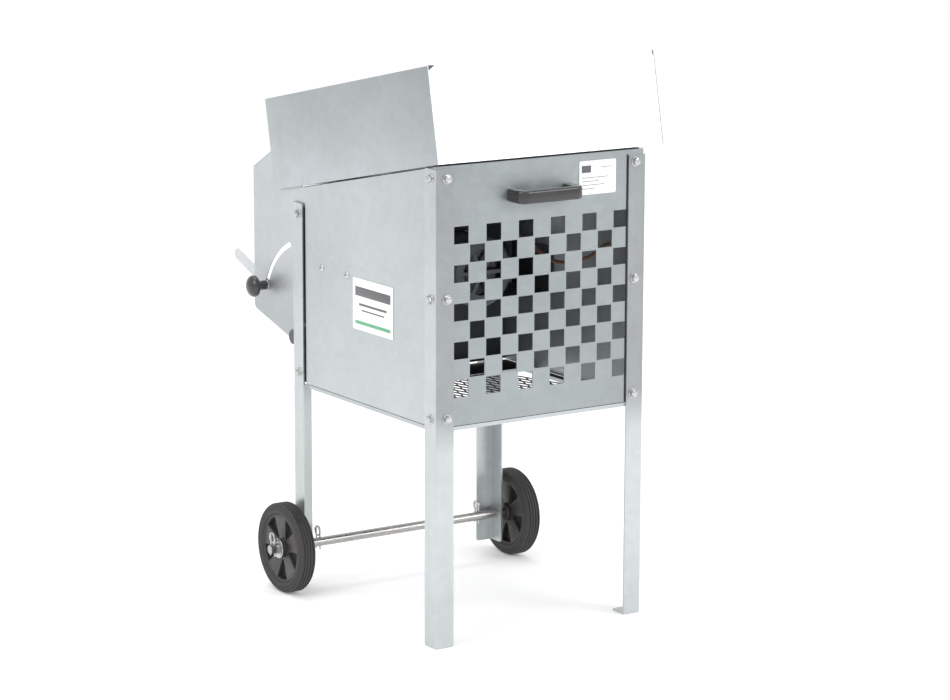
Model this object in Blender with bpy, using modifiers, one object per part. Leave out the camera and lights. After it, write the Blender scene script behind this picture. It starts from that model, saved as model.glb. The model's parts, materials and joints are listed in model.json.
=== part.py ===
# Olive leaf separator: a galvanised fan box on four legs, with a sloping feed hopper on top,
# an open leaf chute with an adjustable air deflector behind, and two transport wheels.
# Units are metres, +Z is up, the intake grille faces -Y and the machine rests on z = 0.
import bpy
import bmesh
from math import atan2, cos, pi, radians, sin, tan
from mathutils import Matrix, Vector

# ---- driving dimensions -------------------------------------------------------------------
BODY_WIDTH = 0.420          # over the outside of the legs
BODY_DEPTH = 0.465          # front face of the front legs to rear face of the rear legs
SHEET = 0.0015              # panel thickness
GAP = 0.0003                # clearance between pieces that touch
LEG_FLANGE = 0.035
LEG_THICK = 0.003
LEG_TOP_LEFT = 0.8052      # the front legs run up to the hopper, the right one stops lower
LEG_TOP_RIGHT = 0.800
LEG_TOP_REAR = 0.693
LEG_FOOT_REAR = 0.028       # the rear legs stop above the ground, the wheels carry them
CORNER_RADIUS = 0.006
PANEL_BOTTOM = 0.376

HOPPER_TILT = radians(11.65)
HOPPER_LENGTH = 0.541
HOPPER_HEIGHT = 0.160
HOPPER_NOSE = 0.008         # how far the hopper stands in front of the legs
HOPPER_NOSE_Z = 0.815       # height of its lower front edge
HOPPER_LEFT_OVER = 0.001    # overhang past the legs, left and right
HOPPER_RIGHT_OVER = 0.031
HOPPER_FLOOR_END = 0.452    # length of the hopper floor along its slope
HEM = 0.009
SEAM = 0.003                # open seam between the body and the hopper

CHUTE_REAR = 0.609          # from the front of the legs
CHUTE_TOP_Z = 0.735
CHUTE_RISE = 0.774
CHUTE_RISE_Y = 0.537
CHUTE_LIP_Z = 0.483
CHUTE_SLOPE = 0.276
CHUTE_FRONT = 0.418
BULKHEAD_Y = 0.415

PIVOT_Y = 0.432
PIVOT_Z = 0.480
SLOT_RADIUS = 0.1428
SLOT_WIDTH = 0.0095
LEVER_ANGLE = radians(20.2)
DEFLECTOR_TRAVEL = radians(48)
LEVER_LENGTH = 0.258
LEVER_WIDTH = 0.020
FLAP_LENGTH = 0.120
SHAFT_RADIUS = 0.006

GRID_PITCH = 0.032
GRID_HOLE = 0.029
GRID_COLUMNS = 11
GRID_ROWS = 9
GRID_LEFT = 0.0364          # from the outside of the left leg
GRID_TOP = 0.7085

FAN_AXIS_Z = 0.590
FAN_RADIUS = 0.120
RING_RADIUS = 0.125
MOTOR_RADIUS = 0.056
SHELF_Z = 0.519

WHEEL_RADIUS = 0.080
WHEEL_WIDTH = 0.032
WHEEL_STANDOFF = 0.012      # leg to wheel
AXLE_RADIUS = 0.008
AXLE_Y = 0.446
AXLE_OVERHANG = 0.062

HANDLE_WIDTH = 0.130
HANDLE_REACH = 0.038
HANDLE_Z = 0.752
HANDLE_OFFSET = -0.004


# ---- derived dimensions -------------------------------------------------------------------
HALF = BODY_WIDTH / 2
LEVER_TIP_Y = PIVOT_Y + LEVER_LENGTH * cos(LEVER_ANGLE) + LEVER_WIDTH / 2
FRONT = -(LEVER_TIP_Y - HANDLE_REACH) / 2      # centres the whole machine on y = 0
PANEL_FACE = LEG_THICK + GAP                   # depth of a panel's face behind the leg's face
PANEL_IN = HALF - PANEL_FACE - SHEET           # half width inside the side panels
CHUTE_OUT = PANEL_IN - GAP                     # outside of the chute sides
CHUTE_IN = CHUTE_OUT - SHEET
LEFT, RIGHT = -1, 1


def depth(distance):
    """World y of a distance behind the front face of the legs."""
    return FRONT + distance


def under_hopper(distance, drop=0.0):
    """Height of the hopper's lower edge at a distance behind the legs' front face."""
    return HOPPER_NOSE_Z - (distance + HOPPER_NOSE) * tan(HOPPER_TILT) - drop


# ---- scene helpers ------------------------------------------------------------------------
def clear_scene():
    for item in list(bpy.data.objects):
        bpy.data.objects.remove(item, do_unlink=True)


def make_collection(name):
    group = bpy.data.collections.new(name)
    bpy.context.scene.collection.children.link(group)
    return group


clear_scene()
PARTS = make_collection("olive_leaf_separator")
CUTTERS = make_collection("cutters")

FINISHES = {                 # colour, roughness, metallic
    "galvanised": ((0.62, 0.65, 0.66), 0.38, 0.90),
    "zinc": ((0.72, 0.73, 0.74), 0.25, 1.00),
    "rubber": ((0.05, 0.05, 0.055), 0.80, 0.00),
    "black_plastic": ((0.02, 0.02, 0.02), 0.35, 0.00),
    "motor_paint": ((0.16, 0.19, 0.22), 0.45, 0.10),
    "aluminium": ((0.70, 0.71, 0.72), 0.40, 0.95),
    "white_plate": ((0.85, 0.85, 0.84), 0.40, 0.00),
    "green_plastic": ((0.03, 0.35, 0.10), 0.35, 0.00),
    "red_plastic": ((0.55, 0.03, 0.03), 0.35, 0.00),
    "cable": ((0.04, 0.04, 0.04), 0.55, 0.00),
}


def dress(obj, finish):
    colour, roughness, metallic = FINISHES[finish]
    paint = bpy.data.materials.new(obj.name + "_" + finish)
    paint.use_nodes = True
    shader = paint.node_tree.nodes["Principled BSDF"]
    shader.inputs["Base Color"].default_value = (*colour, 1.0)
    shader.inputs["Roughness"].default_value = roughness
    shader.inputs["Metallic"].default_value = metallic
    obj.data.materials.clear()
    obj.data.materials.append(paint)
    return obj


def add_mesh(name, bm, finish, placement=None, smooth=False):
    mesh = bpy.data.meshes.new(name)
    bm.to_mesh(mesh)
    bm.free()
    if smooth:
        mesh.shade_smooth()
        mesh.set_sharp_from_angle(angle=radians(35))
    obj = bpy.data.objects.new(name, mesh)
    obj.matrix_world = placement or Matrix.Identity(4)
    PARTS.objects.link(obj)
    return dress(obj, finish)


def as_cutter(obj):
    obj.hide_render = True
    obj.display_type = "WIRE"
    PARTS.objects.unlink(obj)
    CUTTERS.objects.link(obj)
    return obj


def add_boolean(obj, other, operation):
    step = obj.modifiers.new(operation.lower(), "BOOLEAN")
    step.operation = operation
    step.solver = "EXACT"
    step.object = as_cutter(other)


def cut(obj, *others):
    for other in others:
        add_boolean(obj, other, "DIFFERENCE")
    return obj


def join(obj, *others):
    for other in others:
        add_boolean(obj, other, "UNION")
    return obj


# ---- placements: the frame in which a piece is drawn ---------------------------------------
def frame_of(across, up, origin):
    across = Vector(across).normalized()
    up = Vector(up).normalized()
    turn = Matrix((across, up, across.cross(up))).transposed()
    return Matrix.Translation(origin) @ turn.to_4x4()


def side_plane(x):
    """Outline points are (world y, world z), thickness runs along X."""
    return frame_of((0, 1, 0), (0, 0, 1), (x, 0, 0))


def front_plane(y):
    """Outline points are (world x, world z), thickness runs along Y."""
    return frame_of((1, 0, 0), (0, 0, 1), (0, y, 0))


def ground_plane(z):
    return Matrix.Translation((0, 0, z))


HOPPER_CORNER = Vector((0, FRONT - HOPPER_NOSE, HOPPER_NOSE_Z))
DOWN_SLOPE = Vector((0, cos(HOPPER_TILT), -sin(HOPPER_TILT)))
UP_WALL = Vector((0, sin(HOPPER_TILT), cos(HOPPER_TILT)))


def slope_plane(rise):
    """Points are (x, distance down the hopper's slope)."""
    return frame_of((1, 0, 0), DOWN_SLOPE, HOPPER_CORNER + UP_WALL * rise)


def wall_plane(distance):
    """Points are (x, height up the hopper's wall)."""
    return frame_of((1, 0, 0), UP_WALL, HOPPER_CORNER + DOWN_SLOPE * distance)


def tilted_side_plane(x):
    """Points are (distance down the slope, height up the wall)."""
    return frame_of(DOWN_SLOPE, UP_WALL, HOPPER_CORNER + Vector((x, 0, 0)))


def along_x(x, y, z):
    """Turned pieces whose axis runs along +X."""
    return frame_of((0, 1, 0), (0, 0, 1), (x, y, z))


def along_y(x, y, z):
    """Turned pieces whose axis runs along -Y."""
    return frame_of((1, 0, 0), (0, 0, 1), (x, y, z))


# ---- outlines -----------------------------------------------------------------------------
def rectangle(x0, x1, y0, y1):
    return [(x0, y0), (x1, y0), (x1, y1), (x0, y1)]


def circle(x, y, radius, points=24):
    return [(x + radius * cos(2 * pi * i / points), y + radius * sin(2 * pi * i / points))
            for i in range(points)]


def arc(x, y, radius, start, end, points):
    return [(x + radius * cos(start + (end - start) * i / (points - 1)),
             y + radius * sin(start + (end - start) * i / (points - 1))) for i in range(points)]


def rounded(points, radius, steps=4):
    """Round each corner of an outline with a short arc."""
    result = []
    count = len(points)
    for i, corner in enumerate(points):
        here = Vector(corner)
        before = (Vector(points[i - 1]) - here).normalized()
        after = (Vector(points[(i + 1) % count]) - here).normalized()
        half = before.angle(after) / 2
        reach = radius / tan(half)
        centre = here + (before + after).normalized() * (radius / sin(half))
        first = here + before * reach - centre
        last = here + after * reach - centre
        start = atan2(first.y, first.x)
        turn = (atan2(last.y, last.x) - start + pi) % (2 * pi) - pi
        for k in range(steps + 1):
            angle = start + turn * k / steps
            result.append((centre.x + radius * cos(angle), centre.y + radius * sin(angle)))
    return result


# ---- builders -----------------------------------------------------------------------------
def curve_to_mesh(name, curve, placement, finish, smooth=False):
    """Turn a curve object into a closed mesh object in the same place."""
    guide = bpy.data.objects.new(name + "_guide", curve)
    guide.matrix_world = placement
    PARTS.objects.link(guide)
    graph = bpy.context.evaluated_depsgraph_get()
    graph.update()
    mesh = bpy.data.meshes.new_from_object(guide.evaluated_get(graph))
    bm = bmesh.new()
    bm.from_mesh(mesh)
    bmesh.ops.remove_doubles(bm, verts=bm.verts, dist=0.00001)
    bmesh.ops.recalc_face_normals(bm, faces=bm.faces)
    bpy.data.objects.remove(guide, do_unlink=True)
    return add_mesh(name, bm, finish, placement, smooth)


def plate(name, outlines, thickness, placement, finish, smooth=False):
    """A flat outline, with holes as further outlines, given a thickness about its plane."""
    curve = bpy.data.curves.new(name, "CURVE")
    curve.dimensions = "2D"
    curve.fill_mode = "BOTH"
    curve.extrude = thickness / 2
    for outline in outlines:
        spline = curve.splines.new("POLY")
        spline.points.add(len(outline) - 1)
        for point, place in zip(spline.points, outline):
            point.co = (place[0], place[1], 0, 1)
        spline.use_cyclic_u = True
    return curve_to_mesh(name, curve, placement, finish, smooth)


def tube(name, path, radius, finish, resolution=2, cyclic=False):
    """A round wire or hose along a path."""
    curve = bpy.data.curves.new(name, "CURVE")
    curve.dimensions = "3D"
    curve.bevel_depth = radius
    curve.bevel_resolution = resolution
    curve.use_fill_caps = True
    spline = curve.splines.new("POLY")
    spline.points.add(len(path) - 1)
    for point, place in zip(spline.points, path):
        point.co = (*place, 1)
    spline.use_cyclic_u = cyclic
    return curve_to_mesh(name, curve, Matrix.Identity(4), finish, smooth=True)


def block(name, low, high, finish, bevel=0.0):
    """A box between two corners, its edges softened where it is moulded or cast."""
    bm = bmesh.new()
    bmesh.ops.create_cube(bm, size=1)
    centre = [(a + b) / 2 for a, b in zip(low, high)]
    bmesh.ops.scale(bm, vec=[b - a for a, b in zip(low, high)], verts=bm.verts)
    obj = add_mesh(name, bm, finish, Matrix.Translation(centre))
    if bevel:
        add_bevel(obj, bevel)
    return obj


def add_bevel(obj, width, segments=2):
    step = obj.modifiers.new("bevel", "BEVEL")
    step.width = width
    step.segments = segments
    step.limit_method = "ANGLE"
    step.angle_limit = radians(40)
    return obj


def cylinder(name, radius, length, placement, finish, segments=24):
    """A round bar whose axis is the placement's local z, centred on its origin."""
    bm = bmesh.new()
    bmesh.ops.create_cone(bm, cap_ends=True, segments=segments, radius1=radius, radius2=radius,
                          depth=length)
    return add_mesh(name, bm, finish, placement, smooth=True)


def turned(name, profile, placement, finish, steps=32, closed=True):
    """A profile of (radius, height) points, turned about the placement's local z."""
    bm = bmesh.new()
    following = profile[1:] + profile[:1]
    if sum(a[0] * b[1] - b[0] * a[1] for a, b in zip(profile, following)) > 0:
        profile = profile[::-1]
    verts = [bm.verts.new((radius, 0, height)) for radius, height in profile]
    pairs = list(zip(verts, verts[1:]))
    if closed:
        pairs.append((verts[-1], verts[0]))
    for pair in pairs:
        bm.edges.new(pair)
    obj = add_mesh(name, bm, finish, placement)
    step = obj.modifiers.new("turn", "SCREW")
    step.steps = steps
    step.render_steps = steps
    step.use_merge_vertices = True
    step.merge_threshold = 0.00001
    return obj


def folded(name, path, low, high, thickness, finish, placement, bend=0.003, offset=-1):
    """Sheet folded along a path in the placement's xy plane and running from low to high."""
    bm = bmesh.new()
    verts = [bm.verts.new((x, y, low)) for x, y in path]
    edges = [bm.edges.new(pair) for pair in zip(verts, verts[1:])]
    made = bmesh.ops.extrude_edge_only(bm, edges=edges)["geom"]
    top = [item for item in made if isinstance(item, bmesh.types.BMVert)]
    bmesh.ops.translate(bm, vec=(0, 0, high - low), verts=top)
    folds = [edge for edge in bm.edges if len(edge.link_faces) == 2]
    if folds and bend:
        bmesh.ops.bevel(bm, geom=folds, offset=bend, segments=3, profile=0.5, affect="EDGES")
    bmesh.ops.recalc_face_normals(bm, faces=bm.faces)
    obj = add_mesh(name, bm, finish, placement)
    step = obj.modifiers.new("thickness", "SOLIDIFY")
    step.thickness = thickness
    step.offset = offset
    step.use_even_offset = True
    return obj


# ---- legs and feet --------------------------------------------------------------------------
def leg_flange_outline(low, high, start, end):
    """One flange with its two free corners rounded; the folded edge is at start."""
    corner = CORNER_RADIUS
    turn = 1 if end > start else -1
    top = [(end - turn * corner * (1 - cos(a)), high - corner * (1 - sin(a)))
           for a in (i * pi / 8 for i in range(5))]
    bottom = [(x, low + high - z) for x, z in reversed(top)]
    return [(start, low)] + bottom + top + [(start, high)]


def make_leg(name, side, rear):
    low = LEG_FOOT_REAR if rear else LEG_THICK / 3
    high = LEG_TOP_REAR if rear else LEG_TOP_LEFT if side == LEFT else LEG_TOP_RIGHT
    corner_y = depth(BODY_DEPTH) if rear else FRONT
    inward = -1 if rear else 1
    middle = side * (HALF - LEG_THICK / 2)
    outline = leg_flange_outline(low, high, corner_y, corner_y + inward * LEG_FLANGE)
    leg = plate(name, [outline], LEG_THICK, side_plane(middle), "galvanised")
    top = PANEL_BOTTOM - 0.010 if rear else high
    outline = leg_flange_outline(low, top, side * HALF, side * (HALF - LEG_FLANGE))
    flange = plate(name + "_flange", [outline], LEG_THICK,
                   front_plane(corner_y + inward * LEG_THICK / 2), "galvanised")
    join(leg, flange)
    if rear:
        cut(leg, cylinder(name + "_bore", AXLE_RADIUS + GAP, 0.02,
                          along_x(middle, depth(AXLE_Y), WHEEL_RADIUS), "zinc"))
    return leg


def add_foot(leg, side):
    """Square plate welded under a front leg."""
    inner, outer = sorted((side * (HALF - LEG_FLANGE), side * HALF))
    outline = rounded(rectangle(inner, outer, FRONT, depth(LEG_FLANGE)), 0.002)
    foot = plate(leg.name + "_foot", [outline], LEG_THICK, ground_plane(LEG_THICK / 2),
                 "galvanised")
    join(leg, foot)


def make_legs():
    add_foot(make_leg("leg_front_left", LEFT, rear=False), LEFT)
    add_foot(make_leg("leg_front_right", RIGHT, rear=False), RIGHT)
    make_leg("leg_rear_left", LEFT, rear=True)
    make_leg("leg_rear_right", RIGHT, rear=True)


# ---- fan box --------------------------------------------------------------------------------
def make_side_panel(name, side):
    front, back = PANEL_FACE + SHEET + GAP, BODY_DEPTH - LEG_FLANGE - 0.005
    outline = [(depth(front), PANEL_BOTTOM), (depth(back), PANEL_BOTTOM),
               (depth(back), under_hopper(back, SEAM)), (depth(front), under_hopper(front, SEAM))]
    plate(name, [outline], SHEET, side_plane(side * (HALF - PANEL_FACE - SHEET / 2)),
          "galvanised")


def make_front_grille():
    half = HALF - PANEL_FACE
    outlines = [rectangle(-half, half, PANEL_BOTTOM, under_hopper(PANEL_FACE, SEAM))]
    for row in range(GRID_ROWS):
        top = GRID_TOP - row * GRID_PITCH
        for column in range(row % 2, GRID_COLUMNS, 2):
            left = -HALF + GRID_LEFT + column * GRID_PITCH
            outlines.append(rectangle(left, left + GRID_HOLE, top - GRID_HOLE, top))
    plate("front_grille", outlines, SHEET, front_plane(FRONT + PANEL_FACE + SHEET / 2),
          "galvanised")


def make_rear_bulkhead():
    half = CHUTE_OUT
    outlines = [rectangle(-half, half, PANEL_BOTTOM + 0.002, under_hopper(BULKHEAD_Y, 0.006)),
                circle(0, FAN_AXIS_Z, RING_RADIUS, 40)]
    plate("rear_bulkhead", outlines, SHEET, front_plane(depth(BULKHEAD_Y) + SHEET / 2),
          "galvanised")


def make_floor():
    half = HALF - PANEL_FACE
    near, far = depth(PANEL_FACE), depth(BULKHEAD_Y)
    rim = 0.016
    rear_rim = 0.080          # plain sheet under the fan
    thick = 0.0065
    middle = PANEL_BOTTOM - 0.001 - thick / 2
    outlines = [rectangle(-half, half, near, far),
                rectangle(-half + rim, half - rim, near + rim, far - rear_rim)]
    plate("floor_tray", outlines, thick, ground_plane(middle), "galvanised")
    edge = half - rim - GAP
    low, high = near + rim + GAP, far - rear_rim - GAP
    outlines = [rectangle(-edge, edge, low, high)]
    columns, rows = 9, 8
    step_x, step_y = 2 * edge / columns, (high - low) / rows
    for column in range(columns):
        for row in range(rows):
            x, y = -edge + (column + 0.5) * step_x, low + (row + 0.5) * step_y
            reach_x, reach_y = 0.44 * step_x, 0.44 * step_y
            outlines.append([(x - reach_x, y), (x, y - reach_y), (x + reach_x, y),
                             (x, y + reach_y)])
    plate("floor_mesh", outlines, 0.002, ground_plane(middle), "galvanised")


# ---- hopper -----------------------------------------------------------------------------------
def hopper_edges():
    """Outer x of the hopper's left and right walls."""
    return -HALF - HOPPER_LEFT_OVER, HALF + HOPPER_RIGHT_OVER


def make_hopper():
    left, right = hopper_edges()
    for name, x in (("hopper_side_left", left + SHEET / 2), ("hopper_side_right", right - SHEET / 2)):
        plate(name, [rectangle(0, HOPPER_LENGTH, 0, HOPPER_HEIGHT)], SHEET,
              tilted_side_plane(x), "galvanised")
    make_hopper_front(left + SHEET + GAP, right - SHEET - GAP)
    make_hopper_floor(left + SHEET + GAP, right - SHEET - GAP)
    make_hopper_rear(left + SHEET + GAP, right - SHEET - GAP)


def make_hopper_front(left, right):
    """Front wall with its top edge hemmed outwards and the hem mitred at the corners."""
    notch = 0.012
    outline = [(left, 0), (right, 0), (right, HOPPER_HEIGHT - HEM), (right - notch, HOPPER_HEIGHT),
               (left + notch, HOPPER_HEIGHT), (left, HOPPER_HEIGHT - HEM)]
    wall = plate("hopper_front", [outline], SHEET, wall_plane(SHEET / 2), "galvanised")
    low, high = HOPPER_HEIGHT - HEM, HOPPER_HEIGHT
    hem = plate("hopper_front_hem",
                [[(left + 0.004, low), (right - 0.004, low), (right - notch, high),
                  (left + notch, high)]],
                SHEET * 1.2, wall_plane(-SHEET / 2), "galvanised")
    join(wall, hem)


def make_hopper_floor(left, right):
    """The floor stops above the chute; a strip beside the chute carries on to the rear wall."""
    chute_side = CHUTE_OUT + 0.001
    outline = [(left, SHEET + GAP), (right, SHEET + GAP),
               (right, HOPPER_LENGTH - SHEET - GAP), (chute_side, HOPPER_LENGTH - SHEET - GAP),
               (chute_side, HOPPER_FLOOR_END), (left, HOPPER_FLOOR_END)]
    plate("hopper_floor", [outline], SHEET, slope_plane(SHEET / 2), "galvanised")


def make_hopper_rear(left, right):
    outlet = 0.076
    plate("hopper_rear", [rectangle(left, right, outlet, HOPPER_HEIGHT)], SHEET,
          wall_plane(HOPPER_LENGTH - SHEET / 2), "galvanised")


# ---- chute ------------------------------------------------------------------------------------
def slot_outline():
    start = LEVER_ANGLE - radians(0.8)
    end = LEVER_ANGLE + DEFLECTOR_TRAVEL + radians(0.8)
    y, z = depth(PIVOT_Y), PIVOT_Z
    half = SLOT_WIDTH / 2
    outer = arc(y, z, SLOT_RADIUS + half, start, end, 17)
    inner = arc(y, z, SLOT_RADIUS - half, end, start, 17)
    last = (y + SLOT_RADIUS * cos(end), z + SLOT_RADIUS * sin(end))
    first = (y + SLOT_RADIUS * cos(start), z + SLOT_RADIUS * sin(start))
    far_cap = arc(*last, half, end, end + pi, 7)[1:-1]
    near_cap = arc(*first, half, start + pi, start + 2 * pi, 7)[1:-1]
    return outer + far_cap + inner + near_cap


def chute_outline():
    bottom_front = CHUTE_LIP_Z - (CHUTE_REAR - CHUTE_FRONT) * CHUTE_SLOPE
    behind_floor = HOPPER_FLOOR_END * cos(HOPPER_TILT) - HOPPER_NOSE + 0.003
    cheek = CHUTE_RISE + 0.004
    corner = rounded([(depth(CHUTE_FRONT), bottom_front), (depth(CHUTE_REAR), CHUTE_LIP_Z),
                      (depth(CHUTE_REAR), CHUTE_TOP_Z)], 0.010, 4)[5:10]
    return ([(depth(CHUTE_FRONT), bottom_front)] + corner
            + [(depth(CHUTE_REAR), CHUTE_TOP_Z), (depth(CHUTE_RISE_Y), CHUTE_RISE),
               (depth(CHUTE_RISE_Y) - 0.008, cheek), (depth(behind_floor), cheek),
               (depth(behind_floor), under_hopper(behind_floor, SEAM)),
               (depth(CHUTE_FRONT), under_hopper(CHUTE_FRONT, SEAM))])


def make_chute():
    tie = (depth(0.472), 0.451)
    bush = circle(depth(PIVOT_Y), PIVOT_Z, 0.009)
    rod_hole = circle(*tie, 0.0053, 16)
    holes = {LEFT: [slot_outline(), bush, rod_hole], RIGHT: [bush, rod_hole]}
    for name, side in (("chute_side_left", LEFT), ("chute_side_right", RIGHT)):
        plate(name, [chute_outline()] + holes[side], SHEET,
              side_plane(side * (CHUTE_OUT - SHEET / 2)), "galvanised")
    make_chute_cover()
    length = 2 * CHUTE_OUT
    cylinder("chute_tie_rod", 0.005, length, along_x(0, *tie), "zinc", 20)
    for label, side in (("left", LEFT), ("right", RIGHT)):
        cylinder("tie_rod_cap_" + label, 0.013, 0.0016,
                 along_x(side * (CHUTE_OUT + 0.0012), *tie), "black_plastic", 28)


def make_chute_cover():
    """Sloping roof of the chute, from the hopper's rear wall to the rear edge."""
    start = Vector((0, depth(CHUTE_RISE_Y), CHUTE_RISE))
    end = Vector((0, depth(CHUTE_REAR), CHUTE_TOP_Z))
    run = end - start
    rise = Vector((1, 0, 0)).cross(run).normalized()
    placement = frame_of((1, 0, 0), run, start + rise * (GAP + SHEET / 2))
    plate("chute_cover", [rectangle(-CHUTE_OUT, CHUTE_OUT, 0.006, run.length)], SHEET, placement,
          "galvanised")


# ---- deflector ----------------------------------------------------------------------------------
def deflector_plane(x):
    """Drawn along the lever: local x runs from the pivot out to the tip."""
    along = (0, cos(LEVER_ANGLE), sin(LEVER_ANGLE))
    up = (0, -sin(LEVER_ANGLE), cos(LEVER_ANGLE))
    return frame_of(along, up, (x, depth(PIVOT_Y), PIVOT_Z))


def lever_outline():
    half = LEVER_WIDTH / 2
    return (arc(0, 0, half, pi / 2, 3 * pi / 2, 9) + arc(LEVER_LENGTH, 0, half, -pi / 2, pi / 2, 9))


def make_deflector():
    inner = CHUTE_IN - GAP
    thick = 0.003
    cylinder("deflector_shaft", SHAFT_RADIUS, 2 * CHUTE_OUT + 0.002,
             deflector_plane(0), "zinc")
    lever_x = -(inner - thick / 2)
    plate("deflector_lever",
          [lever_outline(), circle(0, 0, SHAFT_RADIUS + GAP),
           circle(SLOT_RADIUS, 0, 0.0043, 16)],
          thick, deflector_plane(lever_x), "galvanised")
    half = inner - thick - 0.006
    frame = deflector_plane(0) @ frame_of((1, 0, 0), (0, 0, 1), (0, 0, 0))
    plate("deflector_flap", [rectangle(SHAFT_RADIUS + GAP, FLAP_LENGTH, -half, half)],
          SHEET, frame, "galvanised")
    for label, side in (("left", LEFT), ("right", RIGHT)):
        plate("deflector_bush_" + label, [circle(depth(PIVOT_Y), PIVOT_Z, 0.0087),
                                          circle(depth(PIVOT_Y), PIVOT_Z, SHAFT_RADIUS + GAP)],
              SHEET, side_plane(side * (CHUTE_OUT - SHEET / 2)), "black_plastic")
    make_clamp(lever_x)


def make_clamp(lever_x):
    """Stud through lever and slot, with the washer and the hand knob outside."""
    y = depth(PIVOT_Y) + SLOT_RADIUS * cos(LEVER_ANGLE)
    z = PIVOT_Z + SLOT_RADIUS * sin(LEVER_ANGLE)
    radius = 0.004
    head = 0.0065
    inner_end = lever_x + 0.0015 + GAP
    outer_end = -CHUTE_OUT - 0.018
    length = inner_end - outer_end
    turned("clamp_stud", [(0, 0), (radius, 0), (radius, length), (head, length),
                          (head, length + 0.004), (0, length + 0.004)],
           along_x(outer_end, y, z), "zinc", 20, closed=False)
    turned("clamp_washer", [(radius + GAP, 0.0015), (0.009, 0.0015), (0.009, 0),
                            (radius + GAP, 0)],
           along_x(-CHUTE_OUT - GAP - 0.0015, y, z), "zinc", 24)
    make_knob(radius + GAP, y, z)


def make_knob(bore, y, z):
    """Mushroom hand knob: a neck against the washer and a domed head."""
    neck = 0.0085
    head = 0.0195
    profile = [(0, 0.036)]
    profile += [(head * sin(a), 0.024 + 0.012 * cos(a)) for a in (i * pi / 12 for i in range(1, 7))]
    profile += [(head * 0.97, 0.0205), (head * 0.80, 0.0175), (0.0100, 0.0150), (neck, 0.0120),
                (neck, 0.0), (bore, 0.0), (bore, 0.0168), (0, 0.0168)]
    placement = frame_of((0, 1, 0), (0, 0, -1), (-CHUTE_OUT - 0.0021, y, z))
    turned("clamp_knob", profile, placement, "black_plastic", 28, closed=False)


# ---- fan and motor ----------------------------------------------------------------------------
def make_fan():
    axis_y = depth(0.405)
    turned("fan_ring", [(RING_RADIUS - 0.0015, 0.0102), (RING_RADIUS + 0.010, 0.0102),
                        (RING_RADIUS + 0.006, 0.0087), (RING_RADIUS, 0.0087),
                        (RING_RADIUS, -0.0095), (RING_RADIUS - 0.0015, -0.0095)],
           along_y(0, axis_y, FAN_AXIS_Z), "galvanised", 40)
    hub = turned("fan_impeller", [(0.0073, 0.010), (0.036, 0.010), (0.038, 0.008),
                                  (0.038, -0.009), (0.0073, -0.009)],
                 along_y(0, axis_y, FAN_AXIS_Z), "aluminium", 32)
    add_fan_blades(hub, axis_y)


def add_fan_blades(hub, axis_y):
    """Seven pitched blades, each a strip twisted from root to tip."""
    count = 7
    root = 0.034
    for index in range(count):
        bm = bmesh.new()
        bmesh.ops.create_grid(bm, x_segments=5, y_segments=4, size=1.0)
        for vert in bm.verts:
            along = (vert.co.x + 1) / 2
            radius = root + along * (FAN_RADIUS - root)
            chord = 0.017 + 0.006 * along
            pitch = radians(40 - 22 * along)
            side = vert.co.y * chord
            camber = 0.002 * (1 - vert.co.y ** 2)
            swing = side * cos(pitch)
            angle = swing / radius
            vert.co = (radius * cos(angle), radius * sin(angle), side * sin(pitch) * 0.62 + camber)
        turn = Matrix.Rotation(2 * pi * index / count, 4, "Z")
        blade = add_mesh("blade_%d" % index, bm, "aluminium",
                         along_y(0, axis_y, FAN_AXIS_Z) @ turn)
        step = blade.modifiers.new("thickness", "SOLIDIFY")
        step.thickness = 0.0015
        step.offset = 0
        join(hub, blade)


def finned_outline(radius, fin, count):
    """Outline of a ribbed motor housing."""
    points = []
    step = 2 * pi / count
    for i in range(count):
        base = i * step
        for share, reach in ((0.10, 0), (0.30, fin), (0.55, fin), (0.75, 0)):
            angle = base + share * step
            points.append(((radius + reach) * cos(angle), (radius + reach) * sin(angle)))
    return points


def make_motor():
    bore = 0.0075
    place = along_y(0, depth(0.285), FAN_AXIS_Z)
    body = plate("motor_body", [finned_outline(MOTOR_RADIUS, 0.006, 28), circle(0, 0, bore)],
                 0.110, place, "motor_paint")
    turned("motor_front_shield",
           [(bore, 0.0), (MOTOR_RADIUS + 0.004, 0.0), (MOTOR_RADIUS + 0.004, -0.010),
            (0.030, -0.022), (0.018, -0.030), (bore, -0.030)],
           along_y(0, depth(0.3403), FAN_AXIS_Z), "motor_paint")
    boss = turned("motor_rear_boss",
                  [(bore, 0.014), (0.030, 0.014), (MOTOR_RADIUS - 0.002, 0.008),
                   (MOTOR_RADIUS - 0.002, -0.004), (bore, -0.004)],
                  along_y(0, depth(0.2297), FAN_AXIS_Z), "motor_paint")
    join(body, boss)
    make_cowl()
    turned("motor_cooling_fan", [(0.0073, 0.006), (0.014, 0.006), (0.044, 0.009), (0.044, 0.006),
                                 (0.016, -0.003), (0.0073, -0.003)],
           along_y(0, depth(0.200), FAN_AXIS_Z), "black_plastic", 28)
    cylinder("motor_shaft", 0.007, 0.222, along_y(0, depth(0.303), FAN_AXIS_Z), "zinc", 24)
    return body


def make_cowl():
    """Hollow cover over the cooling fan, open to the motor and vented in front."""
    outer = MOTOR_RADIUS + 0.005
    wall = 0.0012
    profile = [(0.040, 0.050), (outer - 0.006, 0.050), (outer, 0.044), (outer, 0.0),
               (outer - wall, 0.0), (outer - wall, 0.043), (outer - 0.0065, 0.050 - wall),
               (0.040, 0.050 - wall)]
    cowl = turned("motor_cowl", profile, along_y(0, depth(0.2292), FAN_AXIS_Z), "motor_paint")
    for turn in range(3):
        bar = plate("cowl_bar_%d" % turn, [rectangle(-0.043, 0.043, -0.003, 0.003)], wall,
                    along_y(0, depth(0.2292) - 0.050 + wall / 2, FAN_AXIS_Z)
                    @ Matrix.Rotation(turn * pi / 3, 4, "Z"), "motor_paint")
        join(cowl, bar)


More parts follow.
